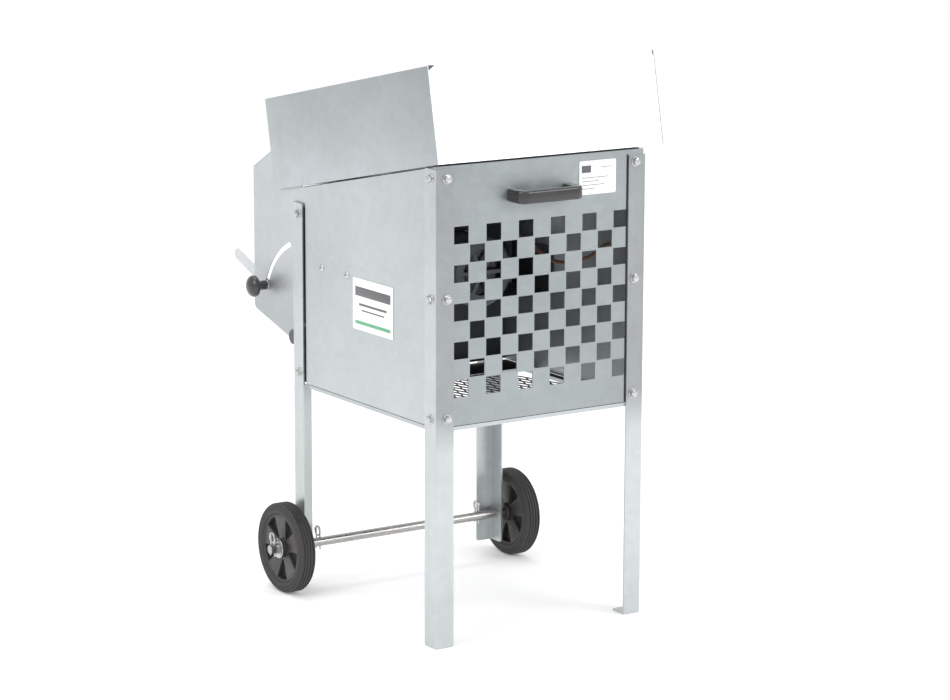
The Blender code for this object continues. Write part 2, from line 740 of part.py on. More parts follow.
def make_motor_mount():
    """Shelf across the box, held by two screws at each end, and the cradle on it."""
    half = PANEL_IN - GAP
    rise = 0.085
    near, far = depth(0.264), depth(0.392)
    placement = frame_of((1, 0, 0), (0, 0, 1), (0, 0, 0))
    folded("motor_shelf", [(-half, SHELF_Z + rise), (-half, SHELF_Z), (half, SHELF_Z),
                           (half, SHELF_Z + rise)], -far, -near, 0.002, "galvanised", placement)
    radius = MOTOR_RADIUS + 0.006 + GAP
    foot = SHELF_Z + 0.002 + GAP
    span = 0.056
    saddle = arc(0, FAN_AXIS_Z, radius, -pi * 0.30, -pi * 0.70, 15)
    outline = [(-span, foot), (span, foot), (span, foot + 0.006)]
    outline += [(0.040, foot + 0.010)] + saddle + [(-0.040, foot + 0.010), (-span, foot + 0.006)]
    for name, y in (("motor_cradle_rear", 0.315), ("motor_cradle_front", 0.276)):
        plate(name, [outline], 0.012, front_plane(depth(y)), "motor_paint")


def make_terminal_box():
    low = FAN_AXIS_Z + MOTOR_RADIUS + 0.006 + GAP
    block("motor_terminal_box", (-0.036, depth(0.245), low), (0.036, depth(0.315), low + 0.034),
          "black_plastic", 0.003)


def smooth_path(points, count):
    """Points along a smooth curve through the given ones."""
    route = [Vector(p) for p in points]
    ends = [route[0] * 2 - route[1]] + route + [route[-1] * 2 - route[-2]]
    result = []
    spans = len(route) - 1
    for i in range(count + 1):
        place = min(i / count * spans, spans - 1e-6)
        k = int(place)
        t = place - k
        a, b, c, d = ends[k:k + 4]
        result.append(0.5 * ((2 * b) + (c - a) * t + (2 * a - 5 * b + 4 * c - d) * t * t
                             + (3 * b - 3 * c + d - a) * t ** 3))
    return result


def make_motor_lead():
    """Lead from the terminal box to the switch, held inside the box all the way."""
    top = FAN_AXIS_Z + MOTOR_RADIUS + 0.006 + 0.018
    wall = PANEL_IN - 0.0015
    route = [(0.0375, depth(0.270), top), (0.062, depth(0.262), top + 0.002),
             (0.100, depth(0.215), top - 0.030), (0.135, depth(0.160), top - 0.070),
             (0.170, depth(0.112), top - 0.060), (wall - 0.012, depth(0.096), top - 0.040),
             (wall, depth(0.095), top - 0.036)]
    tube("motor_lead", smooth_path(route, 42), 0.0035, "cable")


# ---- electrics on the right side -------------------------------------------------------------
def make_switch():
    face = HALF - PANEL_FACE + GAP
    outer = face + 0.040
    low_y, high_y = depth(0.060), depth(0.130)
    low_z, high_z = 0.585, 0.675
    housing = block("switch_housing", (face, low_y, low_z), (outer, high_y, high_z),
                    "black_plastic", 0.003)
    middle_y = (low_y + high_y) / 2
    for name, z, finish in (("start_button", 0.648, "green_plastic"),
                            ("stop_button", 0.612, "red_plastic")):
        well = cylinder(name + "_well", 0.0123, 0.018, along_x(outer, middle_y, z), "zinc", 28)
        cut(housing, well)
        stand = 0.003 if name == "start_button" else 0.006
        profile = [(0, stand), (0.010, stand), (0.012, stand - 0.002), (0.012, -0.005),
                   (0, -0.005)]
        turned(name, profile, along_x(outer, middle_y, z), finish, 28, closed=False)
    make_inlet(face, middle_y, low_z)


def make_inlet(face, y, top):
    """Round appliance inlet under the switch, open below."""
    x = face + 0.020
    profile = [(0, 0), (0.017, 0), (0.017, -0.030), (0.015, -0.030), (0.015, -0.006), (0, -0.006)]
    turned("power_inlet", profile, Matrix.Translation((x, y, top - GAP)), "black_plastic", 32,
           closed=False)


# ---- wheels ---------------------------------------------------------------------------------
def window_outline(turn):
    """One of the five pockets between the spokes: a triangle with its point to the hub."""
    outer, inner = 0.0565, 0.021
    half = radians(17)
    points = [(outer * cos(turn + s * half), outer * sin(turn + s * half)) for s in (-1, -0.33, 0.33, 1)]
    return points + [(inner * cos(turn + s * half * 0.35), inner * sin(turn + s * half * 0.35))
                     for s in (1, -1)]


def make_wheel(side, label):
    x = side * (HALF + WHEEL_STANDOFF + WHEEL_WIDTH / 2)
    place = along_x(x, depth(AXLE_Y), WHEEL_RADIUS)
    half = WHEEL_WIDTH / 2
    seat = 0.0605
    turned("wheel_%s_tyre" % label,
           [(seat, half - 0.002), (0.070, half), (0.0765, half - 0.003),
            (WHEEL_RADIUS, half - 0.007), (WHEEL_RADIUS, 0.007 - half), (0.0765, 0.003 - half),
            (0.070, -half), (seat, 0.002 - half)], place, "rubber", 48)
    outlines = [circle(0, 0, seat - GAP, 48), circle(0, 0, AXLE_RADIUS + GAP, 24)]
    outlines += [window_outline(radians(51 + k * 72)) for k in range(5)]
    rim = plate("wheel_%s_rim" % label, outlines, WHEEL_WIDTH - 0.008, place, "black_plastic")
    hub = turned("hub_" + label,
                 [(AXLE_RADIUS + GAP, half), (0.0165, half), (0.018, half - 0.003),
                  (0.018, 0.003 - half), (0.0165, -half), (AXLE_RADIUS + GAP, -half)],
                 place, "black_plastic", 24)
    join(rim, hub)
    web = turned("web_" + label, [(0.014, 0.002), (0.0585, 0.002), (0.0585, -0.002), (0.014, -0.002)],
                 place, "black_plastic", 48)
    join(rim, web)


def make_axle():
    length = BODY_WIDTH + 2 * AXLE_OVERHANG
    axle = cylinder("axle", AXLE_RADIUS, length, along_x(0, depth(AXLE_Y), WHEEL_RADIUS), "zinc")
    outer_face = HALF + WHEEL_STANDOFF + WHEEL_WIDTH
    bore = AXLE_RADIUS + GAP
    for label, side in (("left", LEFT), ("right", RIGHT)):
        start = side * (outer_face + GAP) - (0.0015 if side == LEFT else 0)
        turned("axle_washer_" + label,
               [(bore, 0.0015), (0.0175, 0.0015), (0.0175, 0), (bore, 0)],
               along_x(start, depth(AXLE_Y), WHEEL_RADIUS), "zinc", 24)
        for place, x in (("outer", outer_face + 0.0075), ("inner", HALF - LEG_FLANGE - 0.006)):
            axle_clip("axle_clip_%s_%s" % (label, place), side * x)
            cut(axle, cylinder("clip_bore", 0.0021, 0.03,
                               Matrix.Translation((side * x, depth(AXLE_Y), WHEEL_RADIUS)),
                               "zinc", 12))


def axle_clip(name, x):
    """Spring clip: a straight leg through the axle, an eye above, a wavy leg outside it."""
    wire = 0.0014
    y, z = depth(AXLE_Y), WHEEL_RADIUS
    eye = 0.0075
    path = [Vector((x, y, z - 0.016)), Vector((x, y, z + 0.012))]
    path += [Vector((x, y + eye * (1 - cos(a)), z + 0.020 + eye * sin(a)))
             for a in (i * pi / 6 for i in range(0, 8))]
    path += [Vector((x, y + 0.0125, z + 0.010)), Vector((x, y + 0.0110, z)),
             Vector((x, y + 0.0105, z - 0.006)), Vector((x, y + 0.014, z - 0.014))]
    return tube(name, path, wire, "zinc", 1)


# ---- handle and plates -----------------------------------------------------------------------
def make_handle():
    """Bridge handle drawn from above: a bar on two feet."""
    half = HANDLE_WIDTH / 2
    base = FRONT + PANEL_FACE - GAP
    front = FRONT - HANDLE_REACH
    bar = 0.011
    foot = 0.018
    x = HANDLE_OFFSET
    outline = [(x - half, base), (x - half + 0.002, front + 0.006), (x - half + 0.008, front),
               (x + half - 0.008, front), (x + half - 0.002, front + 0.006), (x + half, base),
               (x + half - foot, base), (x + half - foot - 0.003, front + bar + 0.004),
               (x + half - foot - 0.008, front + bar), (x - half + foot + 0.008, front + bar),
               (x - half + foot + 0.003, front + bar + 0.004), (x - half + foot, base)]
    handle = plate("front_handle", [outline], 0.022, ground_plane(HANDLE_Z), "black_plastic")
    add_bevel(handle, 0.002, 2)


def make_plates():
    face = FRONT + PANEL_FACE - GAP
    outline = rounded(rectangle(0.0745, 0.1495, 0.740, 0.797), 0.002, 3)
    plate("rating_plate", [outline], 0.0006, front_plane(face - 0.0003), "white_plate")
    outline = rounded(rectangle(depth(0.1365), depth(0.2655), 0.5015, 0.590), 0.002, 3)
    plate("side_badge", [outline], 0.0006, side_plane(-HALF + PANEL_FACE - GAP - 0.0003),
          "white_plate")


def make_outlet_mesh():
    """Guard in front of the fan on the chute side."""
    half = RING_RADIUS + 0.018
    outlines = [rectangle(-half, half, FAN_AXIS_Z - half + 0.020, FAN_AXIS_Z + half - 0.020)]
    cells = 5
    step = 2 * (half - 0.010) / cells
    rise = 2 * (half - 0.030) / cells
    for column in range(cells):
        for row in range(cells):
            x = -half + 0.010 + (column + 0.5) * step
            z = FAN_AXIS_Z - half + 0.030 + (row + 0.5) * rise
            outlines.append(rectangle(x - 0.42 * step, x + 0.42 * step, z - 0.42 * rise,
                                      z + 0.42 * rise))
    plate("outlet_mesh", outlines, 0.002, front_plane(depth(BULKHEAD_Y) + SHEET + GAP + 0.001),
          "galvanised")


make_legs()
make_side_panel("side_panel_left", LEFT)
make_side_panel("side_panel_right", RIGHT)
make_front_grille()
make_rear_bulkhead()
make_floor()
make_hopper()
make_chute()
make_deflector()
make_fan()
make_motor()
make_motor_mount()
make_terminal_box()
make_motor_lead()
make_switch()
make_wheel(LEFT, "left")
make_wheel(RIGHT, "right")
make_axle()
make_handle()
make_plates()
make_outlet_mesh()
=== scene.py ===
# Olive leaf separator: the finished looks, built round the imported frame.
import json
from math import atan2, cos, pi, radians, sin, tan

import bmesh
import bpy
from mathutils import Matrix, Vector

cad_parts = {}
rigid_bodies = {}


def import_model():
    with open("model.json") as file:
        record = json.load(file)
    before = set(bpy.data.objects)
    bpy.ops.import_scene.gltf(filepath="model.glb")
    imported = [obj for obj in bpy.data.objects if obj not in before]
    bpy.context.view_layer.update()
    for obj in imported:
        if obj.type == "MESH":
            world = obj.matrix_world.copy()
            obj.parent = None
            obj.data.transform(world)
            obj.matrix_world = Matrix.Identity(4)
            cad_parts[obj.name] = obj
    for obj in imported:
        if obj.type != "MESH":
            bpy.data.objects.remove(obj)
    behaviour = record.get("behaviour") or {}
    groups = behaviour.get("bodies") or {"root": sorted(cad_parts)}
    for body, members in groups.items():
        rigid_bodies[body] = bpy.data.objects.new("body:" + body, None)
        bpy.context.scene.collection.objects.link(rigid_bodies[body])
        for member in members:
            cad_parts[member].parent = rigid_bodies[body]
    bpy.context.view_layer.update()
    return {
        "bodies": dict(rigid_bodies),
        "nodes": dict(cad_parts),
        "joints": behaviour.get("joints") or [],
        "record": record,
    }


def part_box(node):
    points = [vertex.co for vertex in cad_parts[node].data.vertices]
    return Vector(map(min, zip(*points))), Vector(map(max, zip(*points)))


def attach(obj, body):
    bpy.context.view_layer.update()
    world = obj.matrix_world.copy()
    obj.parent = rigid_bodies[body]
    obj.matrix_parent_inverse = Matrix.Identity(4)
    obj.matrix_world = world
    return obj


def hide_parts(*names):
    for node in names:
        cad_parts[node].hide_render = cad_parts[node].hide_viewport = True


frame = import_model()
nodes = frame["nodes"]


# ways to measure the frame
def boxOf(name):
    low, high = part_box(name)
    return Vector(low), Vector(high)


def centreOf(name):
    low, high = boxOf(name)
    return (low + high) / 2


def addNode(tree, kind, inputs=None, **settings):
    made = tree.nodes.new("ShaderNode" + kind)
    for key, value in settings.items():
        setattr(made, key, value)
    for key, value in (inputs or {}).items():
        if isinstance(value, bpy.types.NodeSocket):
            tree.links.new(value, made.inputs[key])
        else:
            made.inputs[key].default_value = value
    return made


def newMaterial(name, colour, roughness, metallic):
    material = bpy.data.materials.new(name)
    material.use_nodes = True
    shader = material.node_tree.nodes["Principled BSDF"]
    shader.inputs["Base Color"].default_value = (*colour, 1)
    shader.inputs["Roughness"].default_value = roughness
    shader.inputs["Metallic"].default_value = metallic
    return material, material.node_tree, shader


def stretched(tree, scale):
    # Object coordinates with each axis scaled, for a pattern drawn out one way
    coords = addNode(tree, "TexCoord")
    return addNode(tree, "Mapping", {"Vector": coords.outputs["Object"], "Scale": scale}).outputs[0]


def noiseOf(tree, vector, scale, detail=3.0, roughness=0.55):
    return addNode(tree, "TexNoise", {"Vector": vector, "Scale": scale, "Detail": detail,
                                      "Roughness": roughness}).outputs["Fac"]


def rangeOf(tree, value, low, high, start=0.3, end=0.7):
    return addNode(tree, "MapRange", {"Value": value, "From Min": start, "From Max": end,
                                      "To Min": low, "To Max": high}).outputs["Result"]


def sumOf(tree, first, second, share):
    # first + second * share
    return addNode(tree, "Math", {0: second, 1: share, 2: first}, operation="MULTIPLY_ADD").outputs[0]


def colourBetween(tree, value, dark, light, start=0.3, end=0.7):
    ramp = addNode(tree, "ValToRGB", {"Fac": value})
    ramp.color_ramp.elements[0].position = start
    ramp.color_ramp.elements[0].color = (*dark, 1)
    ramp.color_ramp.elements[1].position = end
    ramp.color_ramp.elements[1].color = (*light, 1)
    return ramp.outputs["Color"]


def scaled(colour, factor):
    return tuple(min(1.0, part * factor) for part in colour)


def linkBump(tree, shader, height, strength, distance):
    bump = addNode(tree, "Bump", {"Height": height, "Strength": strength, "Distance": distance})
    tree.links.new(bump.outputs["Normal"], shader.inputs["Normal"])


# materials
galvanisedLook = {"spangle": 70, "drawn": (9, 9, 260), "clouds": 4.5, "metallic": 0.80,
                  "spread": 0.10, "bump": 0.05}


def galvanisedSteel(name, colour, roughness=0.36, drawn=None, paintedShade=None):
    # paintedShade is (height, height, factor, facing): painted shade, the colour scaled down to the factor
    # from the first height to the second, on every side or only where the normal's part along one axis is
    # in a range
    look = galvanisedLook
    material, tree, shader = newMaterial(name, colour, roughness, look["metallic"])
    plain = stretched(tree, (1, 1, 1))
    spangle = addNode(tree, "TexVoronoi", {"Vector": plain, "Scale": look["spangle"]})
    flake = addNode(tree, "SeparateColor", {"Color": spangle.outputs["Color"]}).outputs[0]
    clouds = noiseOf(tree, plain, look["clouds"], 6, 0.6)
    drawnLines = noiseOf(tree, stretched(tree, drawn or look["drawn"]), 1.0, 2)
    tone = sumOf(tree, sumOf(tree, clouds, flake, 0.16), drawnLines, 0.20)
    spread = look["spread"]
    shade = colourBetween(tree, tone, scaled(colour, 1 - spread), scaled(colour, 1 + spread), 0.45, 0.95)
    if paintedShade:
        height = addNode(tree, "SeparateXYZ", {"Vector": plain}).outputs["Z"]
        shadeFactor = rangeOf(tree, height, 1.0, paintedShade[2], paintedShade[0], paintedShade[1])
        if paintedShade[3]:
            normal = addNode(tree, "NewGeometry").outputs["Normal"]
            axis, *span = paintedShade[3]
            along = addNode(tree, "SeparateXYZ", {"Vector": normal}).outputs[axis]
            share = rangeOf(tree, along, *span)
            shadeFactor = addNode(tree, "Mix", {"Factor": share, "A": 1.0, "B": shadeFactor}).outputs["Result"]
        shade = addNode(tree, "VectorMath", {0: shade, "Scale": shadeFactor}, operation="SCALE").outputs[0]
    tree.links.new(shade, shader.inputs["Base Color"])
    rough = rangeOf(tree, sumOf(tree, clouds, flake, 0.25), roughness - 0.05, roughness + 0.09, 0.35, 0.85)
    tree.links.new(rough, shader.inputs["Roughness"])
    grain = sumOf(tree, drawnLines, noiseOf(tree, plain, 420, 2), 0.5)
    linkBump(tree, shader, grain, look["bump"], 0.0004)
    return material


def brightZinc(name, colour=(0.56, 0.57, 0.57), roughness=0.22):
    material, tree, shader = newMaterial(name, colour, roughness, 1.0)
    plain = stretched(tree, (1, 1, 1))
    spots = noiseOf(tree, plain, 160, 4)
    turned = noiseOf(tree, stretched(tree, (900, 30, 30)), 1.0, 1)
    shade = colourBetween(tree, spots, scaled(colour, 0.80), scaled(colour, 1.08))
    tree.links.new(shade, shader.inputs["Base Color"])
    tree.links.new(rangeOf(tree, spots, roughness - 0.06, roughness + 0.12), shader.inputs["Roughness"])
    linkBump(tree, shader, turned, 0.10, 0.0002)
    return material


def mouldedPlastic(name, colour, roughness=0.30, coat=0.2, grainScale=900):
    material, tree, shader = newMaterial(name, colour, roughness, 0.0)
    shader.inputs["Coat Weight"].default_value = coat
    shader.inputs["Coat Roughness"].default_value = 0.15
    plain = stretched(tree, (1, 1, 1))
    grain = noiseOf(tree, plain, grainScale, 3)
    scuffs = noiseOf(tree, plain, 55, 6, 0.7)
    shade = colourBetween(tree, scuffs, scaled(colour, 0.85), scaled(colour, 1.35), 0.35, 0.75)
    tree.links.new(shade, shader.inputs["Base Color"])
    tree.links.new(rangeOf(tree, scuffs, roughness - 0.05, roughness + 0.15), shader.inputs["Roughness"])
    linkBump(tree, shader, grain, 0.12, 0.0002)
    return material


def tyreRubber(name):
    colour = (0.034, 0.031, 0.031)
    material, tree, shader = newMaterial(name, colour, 0.62, 0.0)
    plain = stretched(tree, (1, 1, 1))
    bloom = noiseOf(tree, plain, 30, 6, 0.65)
    grain = noiseOf(tree, plain, 700, 3)
    shade = colourBetween(tree, bloom, scaled(colour, 0.7), scaled(colour, 1.5), 0.3, 0.75)
    tree.links.new(shade, shader.inputs["Base Color"])
    tree.links.new(rangeOf(tree, bloom, 0.52, 0.78), shader.inputs["Roughness"])
    linkBump(tree, shader, sumOf(tree, bloom, grain, 0.5), 0.20, 0.0004)
    return material


def motorPaint(name, colour):
    material, tree, shader = newMaterial(name, colour, 0.42, 0.15)
    plain = stretched(tree, (1, 1, 1))
    peel = noiseOf(tree, plain, 260, 2)
    dust = noiseOf(tree, plain, 24, 6, 0.65)
    shade = colourBetween(tree, dust, colour, scaled(colour, 1.7), 0.40, 0.80)
    tree.links.new(shade, shader.inputs["Base Color"])
    tree.links.new(rangeOf(tree, dust, 0.34, 0.62), shader.inputs["Roughness"])
    linkBump(tree, shader, peel, 0.25, 0.0004)
    return material


def castAluminium(name):
    colour = (0.62, 0.63, 0.64)
    material, tree, shader = newMaterial(name, colour, 0.42, 0.95)
    plain = stretched(tree, (1, 1, 1))
    sand = noiseOf(tree, plain, 520, 4)
    stain = noiseOf(tree, plain, 18, 5)
    tree.links.new(colourBetween(tree, stain, scaled(colour, 0.8), scaled(colour, 1.1)),
                   shader.inputs["Base Color"])
    tree.links.new(rangeOf(tree, sand, 0.34, 0.55), shader.inputs["Roughness"])
    linkBump(tree, shader, sand, 0.25, 0.0003)
    return material


def printedPlate(name, colour):
    material, tree, shader = newMaterial(name, colour, 0.35, 0.0)
    shader.inputs["Coat Weight"].default_value = 0.3
    plain = stretched(tree, (1, 1, 1))
    film = noiseOf(tree, plain, 90, 4)
    tree.links.new(colourBetween(tree, film, scaled(colour, 0.96), scaled(colour, 1.02)),
                   shader.inputs["Base Color"])
    tree.links.new(rangeOf(tree, film, 0.30, 0.42), shader.inputs["Roughness"])
    linkBump(tree, shader, noiseOf(tree, plain, 300, 2), 0.03, 0.0002)
    return material


facesFront = ("Y", 1.0, 0.0, -0.95, -0.3)
facesUp = ("Z", 0.0, 1.0, 0.4, 0.95)
panelSteel = galvanisedSteel("panel_steel", (0.505, 0.538, 0.550))
# painted shade: the tray's upward faces are darkened to a tenth, for the shade inside the box
traySteel = galvanisedSteel("tray_steel", (0.505, 0.538, 0.550), 0.5, None, (0.10, 0.20, 0.10, facesUp))
# frontSteel is a darker copy of the panel zinc: painted shade on the front face
frontSteel = galvanisedSteel("front_steel", (0.328, 0.356, 0.366))
# painted shade: the legs' front faces darken to 0.6 from 0.33 m to 0.40 m up
legSteel = galvanisedSteel("leg_steel", (0.532, 0.562, 0.570), 0.33, (90, 90, 2),
                            (0.33, 0.40, 0.60, facesFront))
# painted reflection: the hopper walls darken towards the top, from 0.76 m to 0.96 m
hopperSteel = galvanisedSteel("hopper_steel", (0.495, 0.53, 0.545), 0.34, None, (0.76, 0.96, 0.72, None))
# hopperFrontSteel is a near-white copy of the hopper zinc: painted highlight on the front wall
hopperFrontSteel = galvanisedSteel("hopper_front_steel", (0.84, 0.85, 0.86), 0.27)
# painted shade: the chute darkens towards the bottom, from 0.60 m down to 0.48 m
chuteSteel = galvanisedSteel("chute_steel", (0.53, 0.56, 0.575), 0.38, None, (0.60, 0.48, 0.80, None))
# a near-black copy of the zinc: painted shade inside the box, on the hopper's left corner tab and along the
# front wall's edges
paintedShadeSteel = galvanisedSteel("painted_shade_steel", (0.12, 0.13, 0.135), 0.55)
flapSteel = galvanisedSteel("flap_steel", (0.46, 0.48, 0.49), 0.42)
# a dark copy of the zinc for the expanded floor: painted shade inside the box
strandSteel = galvanisedSteel("strand_steel", (0.17, 0.16, 0.16), 0.50)
leverSteel = galvanisedSteel("lever_steel", (0.62, 0.64, 0.65), 0.30)
zinc = brightZinc("bright_zinc")
darkZinc = brightZinc("axle_zinc", (0.46, 0.45, 0.44), 0.30)
blackPlastic = mouldedPlastic("black_plastic", (0.018, 0.018, 0.019), 0.22, 0.5)
rimPlastic = mouldedPlastic("rim_plastic", (0.036, 0.033, 0.032), 0.42, 0.15, 500)
switchPlastic = mouldedPlastic("switch_plastic", (0.030, 0.031, 0.033), 0.42, 0.0, 600)
greenPlastic = mouldedPlastic("green_plastic", (0.02, 0.30, 0.08), 0.28)
redPlastic = mouldedPlastic("red_plastic", (0.50, 0.02, 0.02), 0.28)
brownSheath = mouldedPlastic("brown_sheath", (0.16, 0.09, 0.05), 0.45, 0.0)
tyre = tyreRubber("tyre_rubber")
# near-black rubber for the gasket and rim web, and painted shadow for the dark seam strips
darkRubberAndShadow = mouldedPlastic("dark_rubber_and_painted_shadow", (0.016, 0.017, 0.018), 0.75, 0.0)
motorGrey = motorPaint("motor_grey", (0.10, 0.115, 0.13))
impellerMetal = castAluminium("impeller_metal")
plateWhite = printedPlate("plate_white", (0.90, 0.90, 0.88))
printGrey = printedPlate("print_grey", (0.10, 0.10, 0.11))
printGreen = printedPlate("print_green", (0.10, 0.38, 0.20))
print("materials made")

nodeMaterials = {
    panelSteel: ["side_panel_left", "side_panel_right"],
    frontSteel: ["front_grille"],
    hopperSteel: ["hopper_side_left", "hopper_side_right", "hopper_rear", "hopper_floor"],
    hopperFrontSteel: ["hopper_front"],
    chuteSteel: ["chute_side_left", "chute_side_right", "chute_cover"],
    traySteel: ["floor_tray"],
    paintedShadeSteel: ["rear_bulkhead", "fan_ring", "motor_shelf"],
    flapSteel: ["deflector_flap"],
    leverSteel: ["deflector_lever"],
    zinc: ["clamp_stud", "motor_shaft"],
    darkZinc: ["axle", "deflector_shaft", "chute_tie_rod"],
    blackPlastic: ["tie_rod_cap_left", "tie_rod_cap_right", "motor_cooling_fan", "power_inlet"],
    switchPlastic: ["switch_housing", "motor_terminal_box", "deflector_bush_left", "deflector_bush_right"],
    motorGrey: ["motor_body", "motor_front_shield", "motor_cowl", "motor_cradle_front",
                "motor_cradle_rear"],
    impellerMetal: ["fan_impeller"],
    greenPlastic: ["start_button"],
    redPlastic: ["stop_button"],
}
for material, names in nodeMaterials.items():
    for name in names:
        nodes[name].data.materials.clear()
        nodes[name].data.materials.append(material)


# mesh helpers
def finishPiece(name, bm, material, body, slot, *replaced, sharp=32):
    bmesh.ops.remove_doubles(bm, verts=bm.verts, dist=0.000005)
    bmesh.ops.recalc_face_normals(bm, faces=bm.faces)
    mesh = bpy.data.meshes.new(name)
    bm.to_mesh(mesh)
    bm.free()
    mesh.shade_smooth()
    mesh.set_sharp_from_angle(angle=radians(sharp))
    piece = bpy.data.objects.new(name, mesh)
    bpy.context.scene.collection.objects.link(piece)
    mesh.materials.append(material)
    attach(piece, body)
    if replaced:
        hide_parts(*replaced)
    return piece


def axisFrame(centre, axis):
    # local z along the axis
    turn = Vector(axis).normalized().to_track_quat("Z", "Y").to_matrix().to_4x4()
    return Matrix.Translation(centre) @ turn


def spinProfile(bm, profile, place, steps, closed=True):
    # profile of (radius, height) points turned about the place's z
    verts = [bm.verts.new(place @ Vector((radius, 0, height))) for radius, height in profile]
    edges = [bm.edges.new(pair) for pair in zip(verts, verts[1:])]
    if closed:
        edges.append(bm.edges.new((verts[-1], verts[0])))
    axis = place.to_3x3() @ Vector((0, 0, 1))
    bmesh.ops.spin(bm, geom=verts + edges, cent=place.translation, axis=axis, dvec=(0, 0, 0),
                   angle=2 * pi, steps=steps, use_merge=True)


def softBox(bm, low, high, bevel, segments=2, place=None):
    made = bmesh.ops.create_cube(bm, size=1)["verts"]
    low, high = Vector(low), Vector(high)
    bmesh.ops.scale(bm, vec=high - low, verts=made)
    bmesh.ops.translate(bm, vec=(low + high) / 2, verts=made)
    edges = list({edge for vert in made for edge in vert.link_edges})
    made = bmesh.ops.bevel(bm, geom=edges, offset=bevel, segments=segments, profile=0.5,
                           affect="EDGES", material=-1)["verts"]
    if place:
        bmesh.ops.transform(bm, matrix=place, verts=made)


def roundCorners(points, radius, steps=5):
    # each corner of an outline swapped for an arc
    result = []
    for i, corner in enumerate(points):
        here = Vector(corner)
        before = (Vector(points[i - 1]) - here).normalized()
        after = (Vector(points[(i + 1) % len(points)]) - here).normalized()
        half = before.angle(after) / 2
        centre = here + (before + after).normalized() * (radius / sin(half))
        first = here + before * (radius / tan(half)) - centre
        last = here + after * (radius / tan(half)) - centre
        start = atan2(first.y, first.x)
        turn = (atan2(last.y, last.x) - start + pi) % (2 * pi) - pi
        for k in range(steps + 1):
            angle = start + turn * k / steps
            result.append((centre.x + radius * cos(angle), centre.y + radius * sin(angle)))
    return result


def rectangle(x0, x1, y0, y1):
    return [(x0, y0), (x1, y0), (x1, y1), (x0, y1)]


def flatMesh(bm, outlines, thickness, bevel, place):
    # a filled flat curve with softened rims, added to the bmesh at its place
    curve = bpy.data.curves.new("outline", "CURVE")
    curve.dimensions = "2D"
    curve.fill_mode = "BOTH"
    curve.extrude = thickness / 2 - bevel
    curve.bevel_depth = bevel
    curve.offset = -bevel
    curve.bevel_resolution = 2
    for outline in outlines:
        spline = curve.splines.new("POLY")
        spline.points.add(len(outline) - 1)
        for point, where in zip(spline.points, outline):
            point.co = (where[0], where[1], 0, 1)
        spline.use_cyclic_u = True
    addCurve(bm, curve, place)


def addCurve(bm, curve, place):
    guide = bpy.data.objects.new("outline", curve)
    bpy.context.scene.collection.objects.link(guide)
    graph = bpy.context.evaluated_depsgraph_get()
    graph.update()
    mesh = bpy.data.meshes.new_from_object(guide.evaluated_get(graph))
    mesh.transform(place)
    bm.from_mesh(mesh)
    bpy.data.objects.remove(guide, do_unlink=True)
    bpy.data.meshes.remove(mesh)


def wireMesh(bm, paths, radius, sides=2, smooth=True):
    # round wires along lists of points
    curve = bpy.data.curves.new("wire", "CURVE")
    curve.dimensions = "3D"
    curve.bevel_depth = radius
    curve.bevel_resolution = sides
    curve.resolution_u = 5
    curve.use_fill_caps = True
    for path in paths:
        spline = curve.splines.new("NURBS" if smooth else "POLY")
        spline.points.add(len(path) - 1)
        for point, where in zip(spline.points, path):
            point.co = (*where, 1)
        if smooth:
            spline.order_u = 3
            spline.use_endpoint_u = True
    addCurve(bm, curve, Matrix.Identity(4))


def foldedStrip(bm, section, start, end, thickness, fold=0.002):
    # a sheet section, as points in space at the start, drawn to the end and given its thickness
    offset = Vector(end) - Vector(start)
    verts = [bm.verts.new(point) for point in section]
    edges = [bm.edges.new(pair) for pair in zip(verts, verts[1:])]
    made = bmesh.ops.extrude_edge_only(bm, edges=edges)["geom"]
    bmesh.ops.translate(bm, vec=offset, verts=[v for v in made if isinstance(v, bmesh.types.BMVert)])
    folds = [edge for edge in bm.edges if len(edge.link_faces) == 2]
    if folds:
        bmesh.ops.bevel(bm, geom=folds, offset=fold, segments=5, profile=0.5, affect="EDGES",
                        material=-1)
    bmesh.ops.recalc_face_normals(bm, faces=bm.faces)
    bmesh.ops.solidify(bm, geom=bm.faces[:], thickness=thickness)


# legs: steel angle with a rounded fold
legLook = {"thickness": 0.003, "fold": 0.0035, "endRound": 0.005, "foot": 0.0346}


